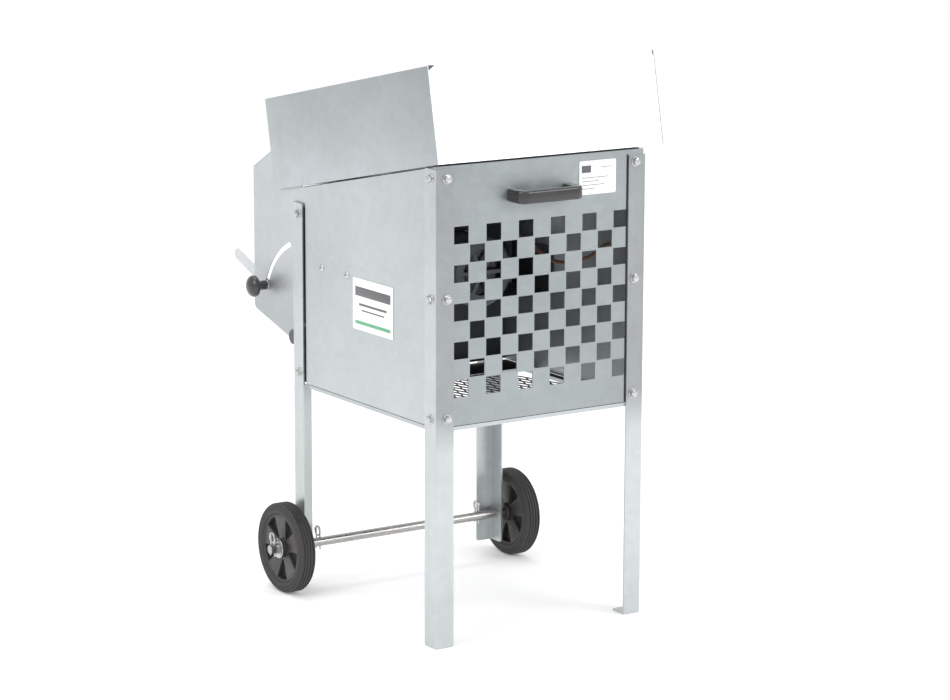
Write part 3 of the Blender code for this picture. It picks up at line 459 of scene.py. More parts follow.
def makeLeg(name):
    low, high = boxOf(name)
    side = -1 if low.x < 0 else 1
    rear = low.y > 0
    corner = Vector((low.x if side < 0 else high.x, high.y if rear else low.y, 0))
    across = Vector((-side, 0, 0)) * (high.x - low.x)
    along = Vector((0, -1 if rear else 1, 0)) * (high.y - low.y)
    inner = [v.co for v in nodes[name].data.vertices if abs(v.co.x - corner.x) > 0.010]
    flangeTop = max(point.z for point in inner)
    bm = bmesh.new()
    verts = [bm.verts.new(corner + step + Vector((0, 0, low.z)))
             for step in (across, Vector(), along)]
    edges = [bm.edges.new(pair) for pair in zip(verts, verts[1:])]
    made = bmesh.ops.extrude_edge_only(bm, edges=edges)["geom"]
    tops = [v for v in made if isinstance(v, bmesh.types.BMVert)]
    bmesh.ops.translate(bm, vec=(0, 0, high.z - low.z), verts=tops)
    if flangeTop < high.z - 0.01:
        cutFlange(bm, corner, flangeTop)
    bmesh.ops.remove_doubles(bm, verts=bm.verts, dist=0.00001)
    folds = [edge for edge in bm.edges if len(edge.link_faces) == 2
             and abs(edge.verts[0].co.x - corner.x) < 1e-5 and abs(edge.verts[0].co.y - corner.y) < 1e-5
             and abs(edge.verts[0].co.x - edge.verts[1].co.x) < 1e-5]
    bmesh.ops.bevel(bm, geom=folds, offset=legLook["fold"], segments=6, profile=0.5,
                    affect="EDGES", material=-1)
    tips = [v for v in bm.verts if len(v.link_faces) == 1 and (v.co - corner).xy.length > 0.02]
    bmesh.ops.bevel(bm, geom=tips, offset=legLook["endRound"], segments=4, profile=0.5,
                    affect="VERTICES", material=-1)
    bmesh.ops.recalc_face_normals(bm, faces=bm.faces)
    bm.faces.ensure_lookup_table()
    outside = max(bm.faces, key=lambda face: face.calc_area())
    outward = Vector((side, 1 if rear else -1, 0))
    if outside.normal.dot(outward) < 0:
        bmesh.ops.reverse_faces(bm, faces=bm.faces)
    bmesh.ops.solidify(bm, geom=bm.faces[:], thickness=legLook["thickness"])
    if not rear:
        foot = legLook["foot"]
        middle = corner + (across + along) / 2
        outline = roundCorners(rectangle(-foot / 2, foot / 2, -foot / 2, foot / 2), 0.003)
        flatMesh(bm, [outline], 0.003, 0.0006, Matrix.Translation((middle.x, middle.y, 0.0015)))
    finishPiece(name + "_angle", bm, legSteel, "base", "galvanised_sheet", name)


def cutFlange(bm, corner, top):
    # takes away the rear-facing flange above the box's bottom edge
    flange = [face for face in bm.faces if abs(face.calc_center_median().y - corner.y) < 0.001]
    geom = flange + [e for f in flange for e in f.edges] + [v for f in flange for v in f.verts]
    geom = list(dict.fromkeys(geom))
    bmesh.ops.bisect_plane(bm, geom=geom, plane_co=(0, 0, top), plane_no=(0, 0, 1))
    gone = [f for f in bm.faces if abs(f.calc_center_median().y - corner.y) < 0.001
            and f.calc_center_median().z > top]
    bmesh.ops.delete(bm, geom=gone, context="FACES")


for name in ("leg_front_left", "leg_front_right", "leg_rear_left", "leg_rear_right"):
    makeLeg(name)
print("legs made")


# bolts: flange-headed hexagon screws on the legs and small pan heads on the panels
boltLook = {"across": 0.0068, "height": 0.0052, "washer": 0.0086, "washerHeight": 0.0014,
            "rows": (0.390, 0.590, 0.789), "rearRows": (0.393, 0.674), "frontInset": 0.0214,
            "sideInset": 0.0165, "rearInset": 0.021, "screw": 0.0052, "screwHeight": 0.0032,
            "spinStep": 0.7, "frontSpin": 1.3}


def addBolt(bm, centre, axis, spin):
    look = boltLook
    place = axisFrame(centre, axis)
    spinProfile(bm, [(0, 0), (look["washer"], 0), (look["washer"], look["washerHeight"] * 0.6),
                     (look["washer"] - 0.0008, look["washerHeight"]), (0, look["washerHeight"])],
                place, 24, closed=False)
    head = bmesh.ops.create_cone(bm, cap_ends=True, segments=6, radius1=look["across"],
                                 radius2=look["across"], depth=look["height"])["verts"]
    tops = [v for v in head if v.co.z > 0]
    rims = [e for e in bm.edges if e.verts[0] in tops and e.verts[1] in tops]
    lift = Matrix.Translation((0, 0, look["washerHeight"] + look["height"] / 2))
    bmesh.ops.transform(bm, matrix=place @ lift @ Matrix.Rotation(spin, 4, "Z"), verts=head)
    bmesh.ops.bevel(bm, geom=rims, offset=0.0009, segments=2, profile=0.5, affect="EDGES",
                    material=-1)


def makeBolts():
    look = boltLook
    turn = 0
    for name in ("leg_front_left", "leg_front_right", "leg_rear_left", "leg_rear_right"):
        low, high = boxOf(name)
        side = -1 if low.x < 0 else 1
        face = low.x if side < 0 else high.x
        bm = bmesh.new()
        if low.y < 0:
            for z in look["rows"]:
                turn += look["spinStep"]
                addBolt(bm, (face, low.y + look["sideInset"], z), (side, 0, 0), turn)
                addBolt(bm, (face - side * look["frontInset"], low.y, z), (0, -1, 0),
                        turn * look["frontSpin"])
        else:
            for z in look["rearRows"]:
                turn += look["spinStep"]
                addBolt(bm, (face, high.y - look["rearInset"], z), (side, 0, 0), turn)
        finishPiece("bolts_" + name, bm, zinc, "base", "zinc_steel")


def makePanelScrews():
    look = boltLook
    shelfLow, shelfHigh = boxOf("motor_shelf")
    for label, side in (("left", -1), ("right", 1)):
        low, high = boxOf("side_panel_" + label)
        face = low.x if side < 0 else high.x
        bm = bmesh.new()
        for y in (shelfLow.y + 0.022, shelfHigh.y - 0.022):
            place = axisFrame((face, y, shelfHigh.z - 0.0145), (side, 0, 0))
            radius, height = look["screw"] + 0.0012, look["screwHeight"]
            profile = [(radius * cos(a), height * sin(a)) for a in (k * pi / 12 for k in range(6))]
            profile += [(0.0016, height), (0.0014, height * 0.45), (0, height * 0.45)]
            spinProfile(bm, profile, place, 20, closed=False)
        finishPiece("panel_screws_" + label, bm, zinc, "base", "zinc_steel")


makeBolts()
makePanelScrews()
print("bolts made")


# wheels
tyreLook = {"seat": 0.0607, "grooves": (-0.0085, -0.003, 0.003, 0.0085), "grooveWidth": 0.0011,
            "grooveDepth": 0.0016, "steps": 96}


def makeTyre(side):
    low, high = boxOf("wheel_%s_tyre" % side)
    half, outer = (high.x - low.x) / 2, (high.z - low.z) / 2
    seat = tyreLook["seat"]
    wall = [(seat, half - 0.0030), (seat + 0.0020, half - 0.0012), (0.0660, half - 0.0004),
            (0.0690, half - 0.0001), (0.0698, half - 0.0010), (0.0706, half - 0.0001),
            (0.0740, half - 0.0004), (0.0746, half - 0.0012), (0.0752, half - 0.0007),
            (0.0776, half - 0.0022), (0.0792, half - 0.0042), (outer, half - 0.0060)]
    tread = []
    for x in reversed(tyreLook["grooves"]):
        width, depth = tyreLook["grooveWidth"], tyreLook["grooveDepth"]
        tread += [(outer, x + width), (outer - depth, x + width * 0.5),
                  (outer - depth, x - width * 0.5), (outer, x - width)]
    profile = wall + tread + [(radius, -height) for radius, height in reversed(wall)]
    bm = bmesh.new()
    spinProfile(bm, profile, axisFrame(centreOf("wheel_%s_tyre" % side), (1, 0, 0)), tyreLook["steps"])
    finishPiece("tyre_" + side, bm, tyre, "wheel_" + side, "rubber", "wheel_%s_tyre" % side, sharp=28)


rimLook = {"spokes": 5, "ringInner": 0.0575, "windowInner": 0.021, "windowHalf": 17, "turn": 51,
           "inset": 0.0045, "dish": 0.42, "web": 0.004, "hub": 0.0175, "bore": 0.0083}


def windowOutline(turn):
    look = rimLook
    half = radians(look["windowHalf"])
    outer, inner = look["ringInner"] - 0.001, look["windowInner"]
    points = [(outer * cos(turn + s * half), outer * sin(turn + s * half))
              for s in (-1, -0.5, 0, 0.5, 1)]
    points += [(inner * cos(turn + s * half * 0.35), inner * sin(turn + s * half * 0.35)) for s in (1, -1)]
    return roundCorners(points, 0.0012, 2)[::-1]


def circleOf(radius, points=48):
    return [(radius * cos(2 * pi * k / points), radius * sin(2 * pi * k / points))
            for k in range(points)]


def dishSpokes(bm, centre):
    # the spoke faces sink towards the hub
    look = rimLook
    for vert in bm.verts:
        away = vert.co - centre
        radius = (away.y ** 2 + away.z ** 2) ** 0.5
        vert.co.x = centre.x + away.x * (1 - look["dish"] * max(0, 1 - radius / look["ringInner"]))


def makeRim(side):
    look = rimLook
    low, high = boxOf("wheel_%s_rim" % side)
    half = (high.x - low.x) / 2
    bore, ring = look["bore"], look["ringInner"]
    centre = centreOf("wheel_%s_rim" % side)
    place = axisFrame(centre, (1, 0, 0))
    bm = bmesh.new()
    windows = [windowOutline(radians(look["turn"] + k * 360 / look["spokes"]))
               for k in range(look["spokes"])]
    flatMesh(bm, [circleOf(ring + 0.002, 60), circleOf(bore + 0.004, 24)[::-1]] + windows,
             (half - look["inset"]) * 2, 0.0012, place)
    dishSpokes(bm, centre)
    outer = tyreLook["seat"] - 0.0002
    lip = half - 0.0036
    spinProfile(bm, [(outer, -lip), (outer, lip), (outer - 0.0008, lip + 0.0008),
                     (ring + 0.0008, lip + 0.0004), (ring, lip - 0.0006), (ring, 0.0006 - lip),
                     (ring + 0.0008, -lip - 0.0004), (outer - 0.0008, -lip - 0.0008)], place, 72)
    hub = look["hub"]
    spinProfile(bm, [(bore, -half), (bore, half), (hub - 0.003, half), (hub - 0.0015, half - 0.0015),
                     (hub, 0.004), (hub, -0.004), (hub - 0.0015, 0.0015 - half),
                     (hub - 0.003, -half)], place, 48)
    finishPiece("rim_" + side, bm, rimPlastic, "wheel_" + side, "black_plastic",
                "wheel_%s_rim" % side)
    # a near-black web closes the rim's windows, so the pockets read dark
    web = look["web"] / 2
    bm = bmesh.new()
    spinProfile(bm, [(bore + 0.005, -web), (bore + 0.005, web), (ring + 0.001, web),
                     (ring + 0.001, -web)], place, 60)
    finishPiece("rim_web_" + side, bm, darkRubberAndShadow, "wheel_" + side, "black_plastic")


for side in ("left", "right"):
    makeTyre(side)
    makeRim(side)
print("wheels made")


# axle washers and spring clips
clipLook = {"wire": 0.0015, "eye": 0.0088, "washer": 0.0175}


def makeWasher(side):
    low, high = boxOf("axle_washer_" + side)
    centre = (low + high) / 2
    outward = (-1 if side == "left" else 1, 0, 0)
    half = (high.x - low.x) / 2
    outer = clipLook["washer"]
    bore = 0.0083
    place = axisFrame(centre, outward)
    bm = bmesh.new()
    spinProfile(bm, [(bore, -half), (outer - 0.0004, -half), (outer, -half + 0.0004),
                     (outer, half - 0.0004), (outer - 0.0004, half), (bore + 0.0008, half),
                     (bore, half - 0.0004)], place, 48)
    finishPiece("washer_" + side, bm, zinc, "base", "zinc_steel", "axle_washer_" + side)


def makeClip(name):
    low, high = boxOf(name)
    wire, eye = clipLook["wire"], clipLook["eye"]
    x = (low.x + high.x) / 2
    straight = low.y + 0.0014
    top = high.z - 2 * eye - wire
    bottom = low.z + wire
    start = bottom
    path = [(x, straight, start), (x, straight, (start + top) / 2), (x, straight, top)]
    turns = 14
    for k in range(turns + 1):
        angle = pi + (2 * pi + 0.75 * pi) * -k / turns
        lift = 0.0016 * (k / turns - 0.5)
        path.append((x + lift, straight + eye + eye * cos(angle), top + eye + eye * sin(angle)))
    grip = straight + 0.0104
    path += [(x + 0.0006, grip + 0.004, top - 0.004), (x, grip, top - 0.012), (x, grip - 0.0005, 0.080),
             (x, grip - 0.0020, 0.073), (x, grip + 0.0030, bottom + 0.0035), (x, grip + 0.0045, bottom)]
    bm = bmesh.new()
    wireMesh(bm, [path], wire)
    finishPiece(name + "_wire", bm, zinc, "base", "zinc_steel", name, sharp=50)


for side in ("left", "right"):
    makeWasher(side)
    for place in ("outer", "inner"):
        makeClip("axle_clip_%s_%s" % (side, place))
print("axle hardware made")


# clamp knob and washer
knobLook = {"dome": 0.012, "neck": 0.0085, "steps": 56}


def makeKnob():
    low, high = boxOf("clamp_knob")
    head = (high.z - low.z) / 2
    length = high.x - low.x
    seat = (high.x, (low.y + high.y) / 2, (low.z + high.z) / 2)
    neck, bore = knobLook["neck"], 0.0043
    dome = [(head * sin(a), length - knobLook["dome"] * (1 - cos(a)))
            for a in (k * pi / 18 for k in range(10))]
    profile = dome + [(head * 0.985, 0.0222), (head * 0.93, 0.0205), (head * 0.82, 0.0190),
                      (0.0130, 0.0175), (0.0103, 0.0155), (neck, 0.0125), (neck - 0.0003, 0.006),
                      (neck, 0.0012), (neck - 0.0008, 0.0), (bore, 0.0), (bore, 0.0166), (0, 0.0166)]
    bm = bmesh.new()
    spinProfile(bm, profile, axisFrame(seat, (-1, 0, 0)), knobLook["steps"], closed=False)
    finishPiece("knob_moulding", bm, blackPlastic, "knob", "black_plastic", "clamp_knob")


def makeClampWasher():
    low, high = boxOf("clamp_washer")
    half, outer, bore = (high.x - low.x) / 2, (high.z - low.z) / 2, 0.0043
    bm = bmesh.new()
    spinProfile(bm, [(bore, -half), (outer - 0.0004, -half), (outer, 0), (outer - 0.0004, half),
                     (bore, half)], axisFrame((low + high) / 2, (1, 0, 0)), 40)
    finishPiece("clamp_washer_disc", bm, zinc, "deflector", "zinc_steel", "clamp_washer")


makeKnob()
makeClampWasher()
print("clamp made")


# carrying handle: a moulded bridge on two feet
handleLook = {"foot": 0.019, "bar": 0.0125, "corner": 0.017, "inner": 0.007, "edge": 0.0040}


def makeHandle():
    look = handleLook
    low, high = boxOf("front_handle")
    foot, bar = look["foot"], look["bar"]
    outer = roundCorners([(low.x, high.y), (low.x, low.y), (high.x, low.y), (high.x, high.y)],
                         look["corner"], 6)
    outer = [(low.x, high.y)] + outer[7:21] + [(high.x, high.y)]
    inner = roundCorners([(high.x - foot, high.y), (high.x - foot, low.y + bar),
                          (low.x + foot, low.y + bar), (low.x + foot, high.y)], look["inner"], 5)
    inner = [(high.x - foot, high.y)] + inner[6:18] + [(low.x + foot, high.y)]
    bm = bmesh.new()
    flatMesh(bm, [outer + inner], high.z - low.z, look["edge"],
             Matrix.Translation((0, 0, (low.z + high.z) / 2)))
    finishPiece("handle_moulding", bm, blackPlastic, "base", "black_plastic", "front_handle", sharp=50)


makeHandle()
print("handle made")


# floor of expanded metal
meshLook = {"long": 0.050, "short": 0.0155, "strand": 0.0024, "border": 0.0008}


def makeFloorMesh():
    low, high = boxOf("floor_mesh")
    look = meshLook
    reach = max(high.x - low.x, high.y - low.y) / 2
    cells = int(2 * reach / look["short"])
    bm = bmesh.new()
    made = bmesh.ops.create_grid(bm, x_segments=cells, y_segments=cells, size=1)["verts"]
    side = cells / 2
    bmesh.ops.rotate(bm, cent=(0, 0, 0), matrix=Matrix.Rotation(pi / 4, 3, "Z"), verts=made)
    half = 2 ** 0.5 / 2
    bmesh.ops.scale(bm, vec=(side * look["short"] * half, side * look["long"] * half, 1), verts=made)
    centre = (low + high) / 2
    bmesh.ops.translate(bm, vec=centre, verts=made)
    for axis in (0, 1):
        for edge, sign in ((low, -1), (high, 1)):
            normal = Vector((0, 0, 0))
            normal[axis] = sign
            bmesh.ops.bisect_plane(bm, geom=bm.verts[:] + bm.edges[:] + bm.faces[:],
                                   plane_co=edge - normal * look["border"], plane_no=normal,
                                   clear_outer=True)
    bmesh.ops.wireframe(bm, faces=bm.faces[:], thickness=look["strand"], use_replace=True,
                        use_boundary=True, use_even_offset=True)
    finishPiece("expanded_floor", bm, strandSteel, "base", "galvanised_sheet", "floor_mesh", sharp=60)


makeFloorMesh()
print("floor mesh made")


# wire guard behind the fan
guardLook = {"wire": 0.0009, "pitch": 0.0125, "frame": 0.006}


def makeGuard():
    low, high = boxOf("outlet_mesh")
    y = (low.y + high.y) / 2
    wire, pitch, frame = guardLook["wire"], guardLook["pitch"], guardLook["frame"]
    columns = int((high.x - low.x - 2 * frame) / pitch)
    rows = int((high.z - low.z - 2 * frame) / pitch)
    uprights = [[(low.x + frame + (k + 0.5) * (high.x - low.x - 2 * frame) / columns, y - wire * 0.5, z)
                 for z in (low.z + 0.002, high.z - 0.002)] for k in range(columns)]
    crossings = [[(x, y + wire * 0.5, low.z + frame + (k + 0.5) * (high.z - low.z - 2 * frame) / rows)
                  for x in (low.x + 0.002, high.x - 0.002)] for k in range(rows)]
    bm = bmesh.new()
    wireMesh(bm, uprights + crossings, wire, 1, smooth=False)
    outline = roundCorners(rectangle(low.x, high.x, low.z, high.z), 0.008)
    hole = roundCorners(rectangle(low.x + frame, high.x - frame, low.z + frame, high.z - frame), 0.004)
    place = Matrix.Translation((0, y, 0)) @ Matrix.Rotation(pi / 2, 4, "X")
    flatMesh(bm, [outline, hole[::-1]], 0.0012, 0.0003, place)
    finishPiece("fan_guard", bm, zinc, "base", "galvanised_sheet", "outlet_mesh")


makeGuard()
print("guard made")


# rolled hems along the hopper's side walls
hemLook = {"width": 0.0085, "gap": 0.0012, "sheet": 0.0010, "end": 0.010}


def makeHopperHems():
    for side in ("left", "right"):
        points = [v.co for v in nodes["hopper_side_" + side].data.vertices]
        frontTop = max(points, key=lambda p: p.z - p.y * 0.1)
        rearTop = max(points, key=lambda p: p.y)
        slope = (rearTop - frontTop).normalized()
        wallUp = Vector((0, -slope.z, slope.y))
        inward = Vector((1 if side == "left" else -1, 0, 0))
        edge = nodes["hopper_side_" + side]
        low, high = boxOf(edge.name)
        face = high.x if side == "left" else low.x
        look = hemLook
        start = Vector((face, frontTop.y, frontTop.z)) + slope * look["end"]
        end = Vector((face, rearTop.y, rearTop.z)) - slope * look["end"]
        section = [start - wallUp * 0.0002, start + inward * look["gap"] - wallUp * 0.0002,
                   start + inward * look["gap"] - wallUp * look["width"]]
        bm = bmesh.new()
        foldedStrip(bm, section, start, end, look["sheet"], 0.0005)
        finishPiece("hopper_hem_" + side, bm, hopperSteel, "base", "galvanised_sheet")


cornerLook = {"behind": 0.0030, "sheet": 0.0010, "line": 0.0006}


def makeHopperCorners():
    # tabs behind the mitred corners of the front wall, and thin dark lines along its hem and right edge
    # that are painted shadow
    look = cornerLook
    edges = {}
    points = [v.co for v in nodes["hopper_front"].data.vertices]
    # the left tab is a painted-shade copy of the zinc and the right one a painted highlight
    for side, sign, material in (("left", -1, paintedShadeSteel), ("right", 1, hopperFrontSteel)):
        top = max(points, key=lambda p: p.z + sign * p.x * 0.1 - p.y * 0.01)
        outer = max(points, key=lambda p: sign * p.x + p.z * 0.1 - p.y * 0.01)
        corner = Vector((outer.x, top.y, top.z))
        wallUp = (corner - outer).normalized()
        inward = wallUp.cross(Vector((1, 0, 0)))
        bm = bmesh.new()
        verts = [bm.verts.new(point + inward * (look["behind"] + depth))
                 for depth in (0, look["sheet"]) for point in (outer, top, corner)]
        for face in ((0, 1, 2), (3, 5, 4), (0, 3, 4, 1), (1, 4, 5, 2), (2, 5, 3, 0)):
            bm.faces.new([verts[i] for i in face])
        bmesh.ops.recalc_face_normals(bm, faces=bm.faces)
        finishPiece("hopper_corner_" + side, bm, material, "base", "galvanised_sheet")
        edges[side] = outer
    foot = max(points, key=lambda p: p.x - p.z * 0.5 - p.y)
    bm = bmesh.new()
    wireMesh(bm, [[edges["left"], edges["right"]], [edges["right"], foot]], look["line"], 1)
    finishPiece("hopper_front_shadow_lines", bm, paintedShadeSteel, "base", "galvanised_sheet")


makeHopperHems()
makeHopperCorners()
print("hopper hems made")


# painted shadow: dark strips in the seam between the box and the hopper, where it lies in shadow
seamShadowLook = {"inset": 0.0060, "width": 0.004, "height": 0.005}


def makeSeamShadows():
    look = seamShadowLook
    panelLow, panelHigh = boxOf("side_panel_left")
    frontLow, frontHigh = boxOf("front_grille")
    floorPoints = [v.co for v in nodes["side_panel_left"].data.vertices]
    frontTop = max(floorPoints, key=lambda p: p.z)
    rearTop = max((p for p in floorPoints if p.y > panelHigh.y - 0.001), key=lambda p: p.z)
    slope = (rearTop - frontTop).normalized()
    for label, side in (("left", -1), ("right", 1)):
        x = side * (abs(panelLow.x) - look["inset"])
        start = Vector((x, frontTop.y + 0.004, frontTop.z - 0.001))
        length = (rearTop - frontTop).length + 0.008
        place = Matrix.Translation(start) @ slope.to_track_quat("X", "Z").to_matrix().to_4x4()
        bm = bmesh.new()
        softBox(bm, (0, -look["width"] / 2, -look["height"] / 2),
                (length, look["width"] / 2, look["height"] / 2 - 0.001), 0.0008, 2, place)
        finishPiece("hopper_seam_shadow_" + label, bm, darkRubberAndShadow, "base", "rubber")
    bm = bmesh.new()
    z = frontHigh.z
    softBox(bm, (frontLow.x + 0.008, frontHigh.y + 0.0003, z - 0.006),
            (frontHigh.x - 0.008, frontHigh.y + 0.0043, z + 0.0015), 0.0008)
    finishPiece("hopper_seam_shadow_front", bm, darkRubberAndShadow, "base", "rubber")


makeSeamShadows()
print("seam shadows made")


# painted shadow: dark strips where the front panel tucks behind the right leg, and in the gap before each
# rear leg
shadowStripLook = {"front": 0.0028, "height": 0.0006, "sheet": 0.0015}


def makeShadowStrips():
    look = shadowStripLook
    gridLow, gridHigh = boxOf("front_grille")
    edge = boxOf("leg_front_right")[0].x
    bm = bmesh.new()
    softBox(bm, (edge - look["front"], gridLow.y - look["height"], gridLow.z + 0.001),
            (edge, gridLow.y + 0.0002, gridHigh.z - 0.008), 0.0002, 1)
    finishPiece("seam_shadow_strip_front", bm, darkRubberAndShadow, "base", "rubber")
    for label, side in (("left", -1), ("right", 1)):
        rearLow, rearHigh = boxOf("leg_rear_" + label)
        panelLow, panelHigh = boxOf("side_panel_" + label)
        face = abs(panelLow.x if side < 0 else panelHigh.x)
        inner, outer = sorted((side * (face - look["sheet"] * 2), side * (face - look["sheet"])))
        bm = bmesh.new()
        softBox(bm, (inner, panelHigh.y - 0.004, panelLow.z + 0.001),
                (outer, rearLow.y + 0.004, rearHigh.z - 0.006), 0.0002, 1)
        finishPiece("seam_shadow_strip_" + label, bm, darkRubberAndShadow, "base", "rubber")


makeShadowStrips()
print("seam shadow strips made")


# plates: blank rating plate with ruled lines, blank badge with a band
plateLook = {"sheet": 0.0006, "print": 0.00012, "corner": 0.003}


def addPrint(bm, outlines, place):
    for outline in outlines:
        flatMesh(bm, [outline], plateLook["print"], 0.00002, place)


def makeRatingPlate():
    low, high = boxOf("rating_plate")
    look = plateLook
    turn = Matrix.Rotation(pi / 2, 4, "X")
    bm = bmesh.new()
    outline = roundCorners(rectangle(low.x, high.x, low.z, high.z), look["corner"])
    flatMesh(bm, [outline], look["sheet"], 0.00015, Matrix.Translation((0, (low.y + high.y) / 2, 0)) @ turn)
    finishPiece("rating_plate_blank", bm, plateWhite, "base", "white_plate", "rating_plate")
    place = Matrix.Translation((0, low.y - 0.00005, 0)) @ turn
    rules = [rectangle(low.x + 0.005, low.x + 0.024, high.z - 0.020, high.z - 0.008)]
    for k, share in enumerate((0.86, 0.55, 0.74, 0.40)):
        z = high.z - 0.029 - k * 0.0062
        rules.append(rectangle(low.x + 0.006, low.x + 0.006 + share * 0.062, z, z + 0.0010))
    rules.append(rectangle(high.x - 0.030, high.x - 0.008, high.z - 0.0125, high.z - 0.0115))
    bm = bmesh.new()
    addPrint(bm, rules, place)
    finishPiece("rating_plate_rules", bm, printGrey, "base", "white_plate")


def makeBadge():
    low, high = boxOf("side_badge")
    look = plateLook
    turn = Matrix.Rotation(pi / 2, 4, "Z") @ Matrix.Rotation(pi / 2, 4, "X")
    bm = bmesh.new()
    outline = roundCorners(rectangle(low.y, high.y, low.z, high.z), look["corner"])
    flatMesh(bm, [outline], look["sheet"], 0.00015, Matrix.Translation(((low.x + high.x) / 2, 0, 0)) @ turn)
    finishPiece("badge_blank", bm, plateWhite, "base", "white_plate", "side_badge")
    place = Matrix.Translation((low.x - 0.00005, 0, 0)) @ turn
    frame = [rectangle(low.y + 0.008, high.y - 0.008, high.z - 0.030, high.z - 0.014),
             rectangle(low.y + 0.020, high.y - 0.020, high.z - 0.046, high.z - 0.042),
             rectangle(low.y + 0.028, high.y - 0.028, high.z - 0.055, high.z - 0.0525)]
    bm = bmesh.new()
    addPrint(bm, frame, place)
    finishPiece("badge_bands", bm, printGrey, "base", "white_plate")
    bm = bmesh.new()
    addPrint(bm, [rectangle(low.y + 0.008, high.y - 0.008, low.z + 0.010, low.z + 0.016)], place)
    finishPiece("badge_stripe", bm, printGreen, "base", "white_plate")


makeRatingPlate()
makeBadge()
print("plates made")


# switch trims and the pins in the inlet
switchLook = {"bezel": 0.0150, "bezelHeight": 0.0016, "screwInset": 0.007, "pin": 0.0022}


def makeSwitchTrims():
    look = switchLook
    low, high = boxOf("switch_housing")
    bm = bmesh.new()
    for name in ("start_button", "stop_button"):
        middle = centreOf(name)
        inner, outer, rise = 0.0124, look["bezel"], look["bezelHeight"]
        spinProfile(bm, [(inner, 0.0002), (outer, 0.0002), (outer, rise * 0.6), (outer - 0.0008, rise),
                         (inner + 0.0006, rise), (inner, rise * 0.6)],
                    axisFrame((high.x, middle.y, middle.z), (1, 0, 0)), 48)
    finishPiece("button_bezels", bm, blackPlastic, "base", "black_plastic")
    bm = bmesh.new()
    inset = look["screwInset"]
    for y in (low.y + inset, high.y - inset):
        for z in (low.z + inset, high.z - inset):
            spinProfile(bm, [(0.0028, 0.0001), (0.0026, 0.0010), (0.0010, 0.0013), (0.0009, 0.0006),
                             (0, 0.0006)], axisFrame((high.x, y, z), (1, 0, 0)), 20, closed=False)
    finishPiece("switch_screws", bm, zinc, "base", "zinc_steel")
    bm = bmesh.new()
    edge = 0.0012
    outline = roundCorners(rectangle(low.y - edge, high.y + edge, low.z - 0.0002, high.z + edge), 0.004)
    hole = roundCorners(rectangle(low.y + 0.0012, high.y - 0.0012, low.z + 0.0012, high.z - 0.0012), 0.003)
    turn = Matrix.Rotation(pi / 2, 4, "Z") @ Matrix.Rotation(pi / 2, 4, "X")
    flatMesh(bm, [outline, hole[::-1]], 0.003, 0.0004, Matrix.Translation((low.x + 0.016, 0, 0)) @ turn)
    finishPiece("switch_gasket", bm, darkRubberAndShadow, "base", "rubber")


def makeInletPins():
    low, high = boxOf("power_inlet")
    middle = (low + high) / 2
    bm = bmesh.new()
    for k in range(3):
        angle = pi / 2 + k * 2 * pi / 3
        foot = Vector((middle.x + 0.0085 * cos(angle), middle.y + 0.0085 * sin(angle), high.z - 0.0065))
        radius = switchLook["pin"]
        spinProfile(bm, [(radius, 0), (radius, 0.014), (radius * 0.6, 0.0165), (0, 0.0170)],
                    axisFrame(foot, (0, 0, -1)), 20, closed=False)
    finishPiece("inlet_pins", bm, zinc, "base", "zinc_steel")


makeSwitchTrims()
makeInletPins()
print("switch made")


# motor lead: the frame's own lead, given the brown sheath material
def makeMotorLead():
    lead = nodes["motor_lead"]
    lead.data.materials.clear()
    lead.data.materials.append(brownSheath)


makeMotorLead()
print("lead dressed")


# floor, light and camera
stageLook = {"floor": (0.93, 0.93, 0.93), "glow": 0.16, "sky": (1.0, 1.0, 1.0), "skyStrength": 0.92}
cameraLook = {"place": (-2.9850, -4.6600, 1.5600), "forward": (0.53825, 0.81871, -0.19998),
              "roll": 0.16, "lens": 121.99}


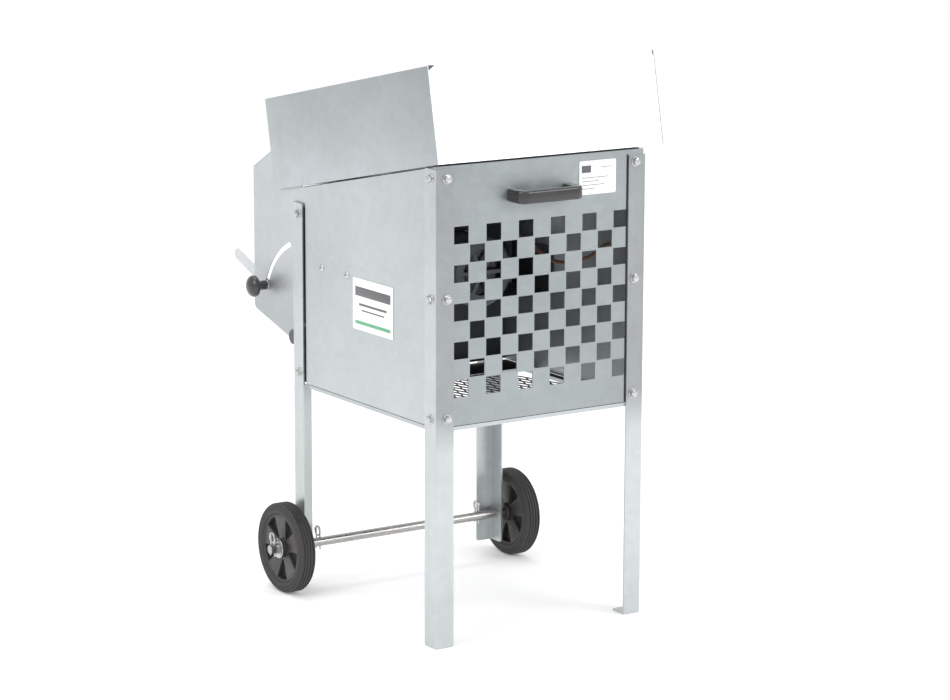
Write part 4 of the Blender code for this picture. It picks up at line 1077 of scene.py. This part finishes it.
def makeStage():
    bm = bmesh.new()
    bmesh.ops.create_grid(bm, x_segments=1, y_segments=1, size=30)
    bmesh.ops.translate(bm, vec=(0, 0, -0.0005), verts=bm.verts)
    mesh = bpy.data.meshes.new("studio_floor")
    bm.to_mesh(mesh)
    bm.free()
    floor = bpy.data.objects.new("studio_floor", mesh)
    bpy.context.scene.collection.objects.link(floor)
    material, _, shader = newMaterial("studio_paper", stageLook["floor"], 0.9, 0.0)
    shader.inputs["Emission Color"].default_value = (1, 1, 1, 1)
    shader.inputs["Emission Strength"].default_value = stageLook["glow"]
    mesh.materials.append(material)
    world = bpy.data.worlds.new("studio")
    world.use_nodes = True
    background = world.node_tree.nodes["Background"]
    background.inputs["Color"].default_value = (*stageLook["sky"], 1)
    background.inputs["Strength"].default_value = stageLook["skyStrength"]
    bpy.context.scene.world = world


def addLight(name, place, target, size, power):
    light = bpy.data.lights.new(name, "AREA")
    light.shape = "RECTANGLE"
    light.size, light.size_y = size
    light.energy = power
    lamp = bpy.data.objects.new(name, light)
    bpy.context.scene.collection.objects.link(lamp)
    lamp.location = place
    lamp.rotation_euler = (Vector(target) - Vector(place)).to_track_quat("-Z", "Y").to_euler()


def makeCamera():
    look = cameraLook
    forward = Vector(look["forward"]).normalized()
    right = forward.cross(Vector((0, 0, 1))).normalized()
    up = right.cross(forward)
    roll = radians(look["roll"])
    across = right * cos(roll) + up * sin(roll)
    upright = up * cos(roll) - right * sin(roll)
    turn = Matrix((across, upright, -forward)).transposed().to_4x4()
    data = bpy.data.cameras.new("viewpoint")
    data.lens = look["lens"]
    data.sensor_width = 36
    data.clip_end = 100
    camera = bpy.data.objects.new("viewpoint", data)
    camera.matrix_world = Matrix.Translation(look["place"]) @ turn
    bpy.context.scene.collection.objects.link(camera)
    bpy.context.scene.camera = camera


makeStage()
addLight("key", (-3.2, -0.6, 3.0), (0, 0, 0.6), (2.4, 2.0), 42)
addLight("front", (2.3, -3.9, 2.5), (0, -0.3, 0.85), (2.4, 1.3), 62)
addLight("top", (0.0, 0.6, 3.4), (0, 0, 0.6), (2.5, 2.5), 34)
bpy.context.scene.view_settings.view_transform = "Standard"
makeCamera()
print("stage made")

bpy.context.view_layer.update()
